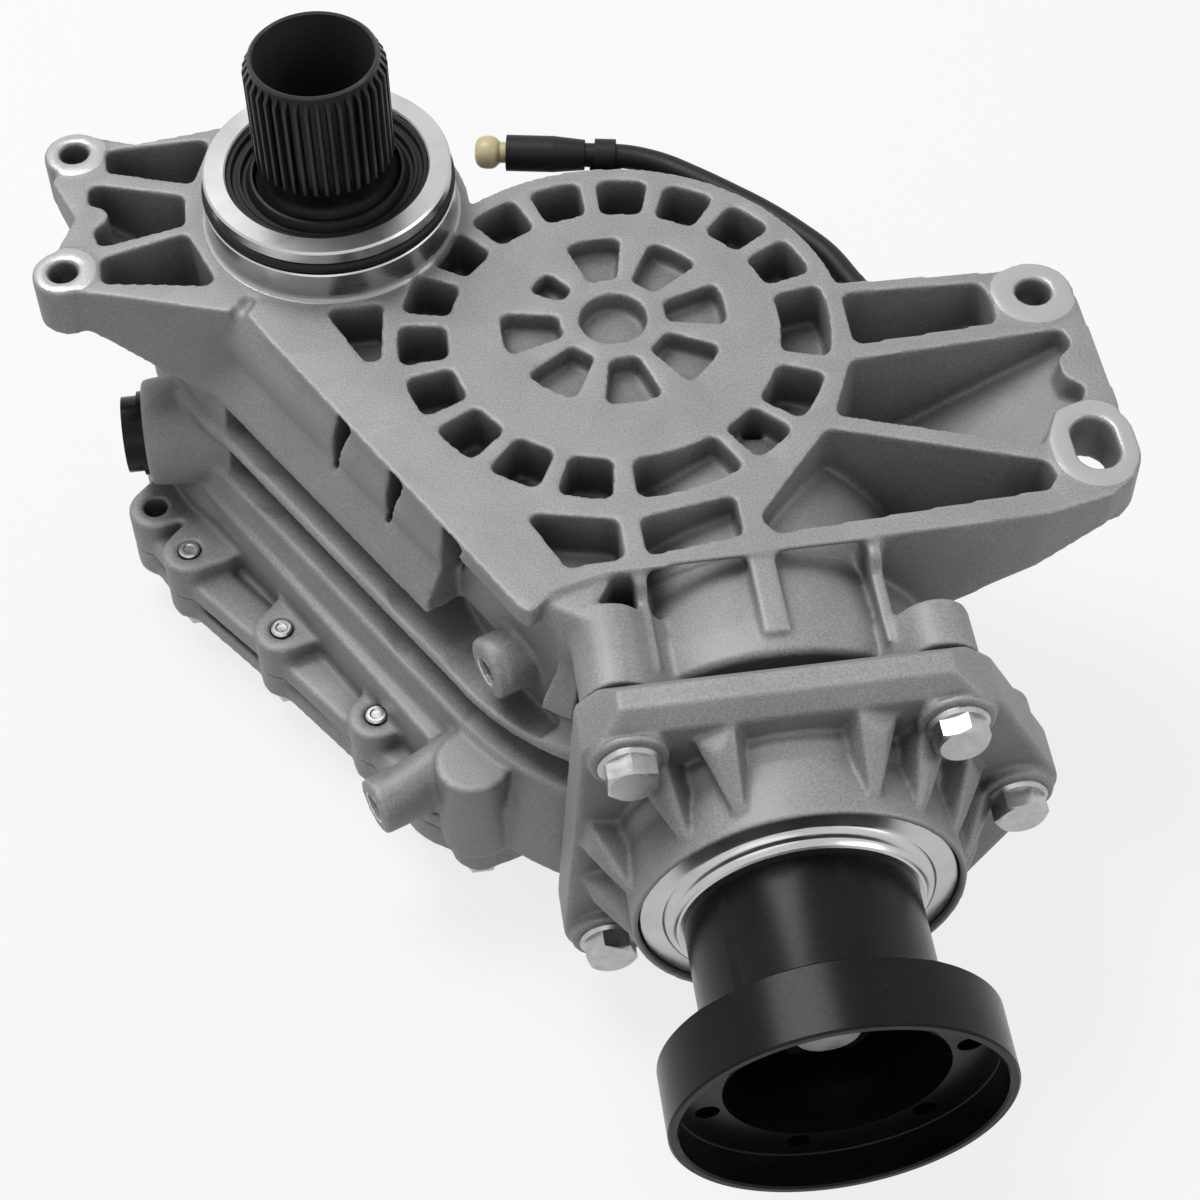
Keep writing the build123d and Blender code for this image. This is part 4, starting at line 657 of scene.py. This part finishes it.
def housing_forms():
    """Broad gussets between the flange of the housing and its nose."""
    foot_outline = ((54.2, 239.0, -7.0), (69.0, 239.0, -7.0), (69.0, 239.0, 7.0), (54.2, 239.0, 7.0))
    ridge_outline = ((54.2, 265.0, -1.8), (56.8, 265.0, -1.8), (68.0, 248.0, -1.8), (68.0, 243.0, -1.8),
                     (54.2, 243.0, -1.8))
    forms = []
    for angle in gusset_angles:
        turn = math.radians(angle)
        spoke, side = Vector((math.cos(turn), 0.0, math.sin(turn))), Vector((-math.sin(turn), 0.0, math.cos(turn)))
        foot, ridge = [[output_centre + spoke * radius + side * aside + Vector((0.0, -distance, 0.0))
                        for radius, distance, aside in outline] for outline in (foot_outline, ridge_outline)]
        forms.append(skinned("gusset", [slab("foot", foot, (0.0, -3.0, 0.0)), slab("ridge", ridge, side * 3.6)]))
    return forms


def casting_from(node, name, voxel, passes, triangles, material, forms=(), spaces=()):
    """Casting with rounded cast edges, from a merged copy of its CAD node, with forms added and spaces cut."""
    piece = nodes[node].copy()
    piece.data = nodes[node].data.copy()
    piece.parent = None
    piece.name = piece.data.name = name
    for key in list(piece.keys()):
        del piece[key]
    bpy.context.scene.collection.objects.link(piece)
    alone(piece)
    bpy.ops.object.mode_set(mode="EDIT")
    bpy.ops.mesh.select_all(action="SELECT")
    bpy.ops.mesh.remove_doubles(threshold=0.00001)
    bpy.ops.object.mode_set(mode="OBJECT")
    if forms:
        piece = joined(name, [piece, *forms])
    apply_modifier(piece, "REMESH", mode="VOXEL", voxel_size=voxel)
    if spaces:
        room = joined(name + "_room", list(spaces))
        apply_modifier(room, "REMESH", mode="VOXEL", voxel_size=voxel)
        apply_modifier(piece, "BOOLEAN", operation="DIFFERENCE", object=room, solver="MANIFOLD")
        bpy.data.objects.remove(room)
        apply_modifier(piece, "REMESH", mode="VOXEL", voxel_size=voxel)
    apply_modifier(piece, "SMOOTH", factor=0.5, iterations=passes)
    count = sum(len(face.vertices) - 2 for face in piece.data.polygons)
    if count > triangles:
        apply_modifier(piece, "DECIMATE", ratio=triangles / count)
    alone(piece)
    bpy.ops.object.shade_smooth()
    paint(piece, material)
    return piece


def build_castings(materials):
    """The three castings: name, voxel, smoothing passes, triangles, material, forms gained and room lost."""
    cover_lugs = flange_lugs(side_screws + (ear,), cover_flange_low, split_level - cover_flange_low)
    for node, name, voxel, passes, triangles, material, forms, spaces in (
        ("main_case", "main_casting", 0.9 * MM, 9, 195000, "deck", main_case_forms(), main_case_spaces()),
        ("pinion_housing", "housing_casting", 0.8 * MM, 8, 90000, "cast", housing_forms(), housing_spaces()),
        ("rear_cover", "cover_casting", 1.1 * MM, 6, 60000, "cast", cover_lugs,
         flange_holes((ear,), ear_hole)),
    ):
        piece = casting_from(node, name, voxel, passes, triangles, materials[material], forms, spaces)
        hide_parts(node)
        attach(piece, "case")


def finished(piece, body, slot, material, *replaced):
    """Gives a piece its material and body, and hides the CAD nodes it stands for."""
    paint(piece, material)
    if replaced:
        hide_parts(*replaced)
    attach(piece, body)
    alone(piece)
    bpy.ops.object.shade_smooth_by_angle(angle=math.radians(32))
    return piece


def build_pilot(materials):
    """Turned pilot over the casting, with its seal groove, and the lip seal round the sleeve."""
    pilot_section = ((44.0, 0.2), (45.0, 0.2), (45.4, 0.6), (45.4, 12.4), (45.0, 13.0), (41.6, 13.0), (41.6, 17.5),
                     (44.0, 17.5), (44.4, 17.9), (44.4, 22.0), (43.65, 22.75), (36.9, 22.75),
                     (36.35, 22.2), (36.35, 12.0), (39.0, 12.0), (39.0, 5.0), (41.0, 5.0), (41.0, 0.2))
    pilot = spun("pilot_ring", input_centre, up, pilot_section, 192)
    finished(pilot, "case", "cast_aluminium", materials["machined"])
    seal_section = ((26.7, 9.2), (36.25, 9.2), (36.25, 20.4), (35.9, 20.9), (34.6, 20.9), (34.2, 20.4), (34.0, 19.2),
                    (32.6, 19.2), (32.3, 19.6), (31.2, 19.6), (30.9, 19.0), (30.6, 17.6), (29.4, 17.6), (29.0, 18.4),
                    (27.6, 20.6), (26.7, 20.8))
    seal = spun("lip_seal", input_centre, up, seal_section, 160)
    finished(seal, "case", "black_rubber", materials["rubber"], "input_seal")


def build_screw_ends(materials):
    """Ends of the cover screws in the lugs of the case, and the bright chamfers of the tapped bosses."""
    end_section = ((0.0, -114.0), (4.0, -114.0), (4.0, -109.9), (3.4, -109.3), (2.4, -109.3), (1.9, -109.9),
                   (0.0, -110.0))
    for k, (x, y) in enumerate(side_screws):
        end = spun("screw_end_%d" % (k + 1), (x, y, 0.0), up, end_section, 32)
        finished(end, "case", "plated_steel", materials["zinc"])
    rim_section = ((4.45, 12.0), (4.45, 1.2), (5.6, -0.1), (5.9, -0.1), (5.9, 12.0))
    for name, centre in (("upper_thread", upper_boss), ("lower_thread", lower_boss)):
        rim = spun(name, centre, boss_inward, rim_section, 48)
        finished(rim, "case", "cast_aluminium", materials["machined"])


def build_sleeve(materials):
    """Splined input sleeve: the chamfer of its end cuts the grooves to points."""
    sleeve_section = ((21.1, -156.0), (27.5, -156.0), (27.5, -122.0), (33.0, -122.0), (33.0, -88.0), (27.5, -88.0),
                      (27.5, 3.0), (26.6, 5.0), (26.6, 15.0), (25.4, 19.0), (23.6, 22.2), (22.7, 24.5), (22.7, 29.0),
                      (25.0, 31.3), (25.0, 68.6), (22.75, 72.4), (22.75, 73.4), (22.0, 74.15), (21.7, 74.15),
                      (21.1, 73.5))
    blank = spun("splined_sleeve", input_centre, up, sleeve_section, 144)
    groove_outline = ((22.8, -0.75, 28.0), (26.2, -1.8, 28.0), (26.2, 1.8, 28.0), (22.8, 0.75, 28.0))
    cutter = slab("spline_cutter", groove_outline, up * 47.0)
    cutters = []
    for k in range(spline_teeth):
        copy = cutter.copy()
        copy.data = cutter.data.copy()
        bpy.context.scene.collection.objects.link(copy)
        copy.rotation_euler = (0.0, 0.0, 2.0 * math.pi / spline_teeth * (k + spline_turn))
        cutters.append(copy)
    bpy.data.objects.remove(cutter)
    comb = joined("spline_cutters", cutters)
    alone(comb)
    bpy.ops.object.transform_apply(location=True, rotation=True, scale=True)
    apply_modifier(blank, "BOOLEAN", operation="DIFFERENCE", object=comb, solver="EXACT")
    bpy.data.objects.remove(comb)
    finished(blank, "input", "dark_steel", materials["spline"], "input_sleeve")


def build_output(materials):
    """Output flange with its cup and holes, and the pressed shield round its tube."""
    flange_section = ((16.0, 246.0), (26.0, 246.0), (26.0, 268.0), (38.2, 268.0), (39.0, 268.8), (39.0, 318.4),
                      (39.5, 320.3), (41.4, 321.4), (54.7, 321.6), (55.4, 322.3), (55.4, 344.6), (54.7, 345.3),
                      (52.7, 345.3), (52.0, 344.6), (52.0, 333.7), (51.6, 333.3), (36.5, 333.3),
                      (36.0, 333.8), (32.4, 309.3), (32.0, 309.3), (32.0, 303.0), (16.0, 303.0))
    flange = spun("output_cup", output_centre, outward, flange_section, 160)
    drills = []
    for k in range(flange_bolts):
        angle = math.radians(flange_bolt_turn + 360.0 / flange_bolts * k)
        place = output_centre + Vector((math.cos(angle) * flange_bolt_circle, -318.0,
                                        math.sin(angle) * flange_bolt_circle))
        drills.append(rod("hole", place, outward, flange_bolt_radius, 20.0, 32))
    holes = joined("holes", drills)
    apply_modifier(flange, "BOOLEAN", operation="DIFFERENCE", object=holes, solver="EXACT")
    bpy.data.objects.remove(holes)
    finished(flange, "output", "dark_steel", materials["black"], "output_flange")
    shield_thickness = 1.0
    front = ((39.05, 274.2), (40.6, 274.3), (41.3, 273.8), (41.7, 272.4), (42.4, 271.7), (43.6, 271.5), (44.6, 270.8),
             (45.4, 269.4), (46.6, 268.8), (52.2, 268.8), (52.7, 268.5))
    back = tuple((radius, distance - shield_thickness) for radius, distance in reversed(front))
    shield = spun("pressed_shield", output_centre, outward, front + back, 160)
    finished(shield, "output", "plated_steel", materials["bright"], "dust_shield")


def frame_slot(node):
    """Material slot of a CAD node."""
    return next(entry["material_slot"] for entry in frame["record"]["subparts"] if entry["node"] == node)


def build_vent_cap(materials):
    """Round cap of the breather on its short neck, in line with its connector."""
    connector, cap = [(Vector(low) + Vector(high)) / 2.0 / MM
                      for low, high in (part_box("vent_connector"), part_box("vent_cap"))]
    cap_section = ((0.0, -6.0), (4.0, -6.0), (4.0, -3.6), (4.8, -2.8), (5.8, -1.7), (6.3, -0.2), (6.3, 2.4),
                   (5.7, 4.2), (4.6, 5.4), (3.0, 6.0), (0.0, 6.1))
    round_cap = spun("round_vent_cap", cap, (cap - connector).normalized(), cap_section, 48)
    finished(round_cap, "case", frame_slot("vent_cap"), materials["ivory"], "vent_cap")


def build_housing_screws(materials):
    """Flanged screws of the pinion housing: hexagon heads with coned corners on bevelled washers."""
    head_radius, head_height, head_middle = 8.0 / math.cos(math.pi / 6.0), 7.4, 4.9
    shank_radius, shank_length, turn_between = 4.9, 36.5, 11.0
    washer_section = ((0.0, 0.0), (10.4, 0.0), (10.4, 0.7), (9.2, 1.7), (0.0, 1.9))
    cone_section = ((0.0, -2.0), (11.0, -2.0), (11.0, 6.6), (9.3, 7.5), (7.6, 8.6), (0.0, 8.6))
    for k, (x, z) in enumerate(housing_screws):
        seat = Vector((x, -housing_face, z))
        washer = spun("washer", seat, outward, washer_section, 48)
        bpy.ops.object.select_all(action="DESELECT")
        bpy.ops.mesh.primitive_cylinder_add(vertices=6, radius=head_radius * MM, depth=head_height * MM,
                                            location=(seat + outward * head_middle) * MM,
                                            rotation=(math.pi / 2.0, math.radians(turn_between * k), 0.0))
        head = bpy.context.object
        bpy.ops.object.transform_apply(location=True, rotation=True, scale=True)
        cone = spun("cone", seat, outward, cone_section, 64)
        apply_modifier(head, "BOOLEAN", operation="INTERSECT", object=cone, solver="EXACT")
        bpy.data.objects.remove(cone)
        shank = rod("shank", seat + outward * 0.5, -outward, shank_radius, shank_length, 32)
        screw = joined("housing_screw_%d" % (k + 1), [head, washer, shank])
        finished(screw, "case", "plated_steel", materials["zinc"], "pinion_housing_bolts")


def dress_nodes(materials):
    """Gives every CAD node the material of its slot, and a few their own."""
    by_slot = {"cast_aluminium": "cast", "dark_steel": "black", "plated_steel": "zinc", "ground_steel": "steel",
               "black_rubber": "rubber", "black_plastic": "rubber", "soft_aluminium": "machined"}
    for entry in frame["record"]["subparts"]:
        paint(nodes[entry["node"]], materials[by_slot[entry["material_slot"]]])
    paint(nodes["fill_plug"], materials["black"])
    paint(nodes["vent_clip"], materials["rubber"])
    paint(nodes["fill_plug_washer"], materials["black"])
    paint(nodes["pinion_nut"], materials["black"])
    for name, node in nodes.items():
        alone(node)
        bpy.ops.object.shade_smooth_by_angle(angle=math.radians(30))


materials = {"deck": cast_aluminium("cast_aluminium_case", True), "cast": cast_aluminium("cast_aluminium", False),
             "machined": machined_aluminium(), "black": black_steel(),
             "zinc": zinc_plate(), "rubber": black_rubber(), "ivory": ivory_plastic(), "steel": ground_steel(),
             "spline": spline_steel(), "bright": pressed_zinc()}
bpy.ops.object.select_all(action="DESELECT")
build_camera()
build_light()
build_floor()
dress_nodes(materials)
build_castings(materials)
build_pilot(materials)
build_screw_ends(materials)
build_sleeve(materials)
build_output(materials)
build_vent_cap(materials)
build_housing_screws(materials)
bpy.context.scene.view_settings.view_transform = "Standard"
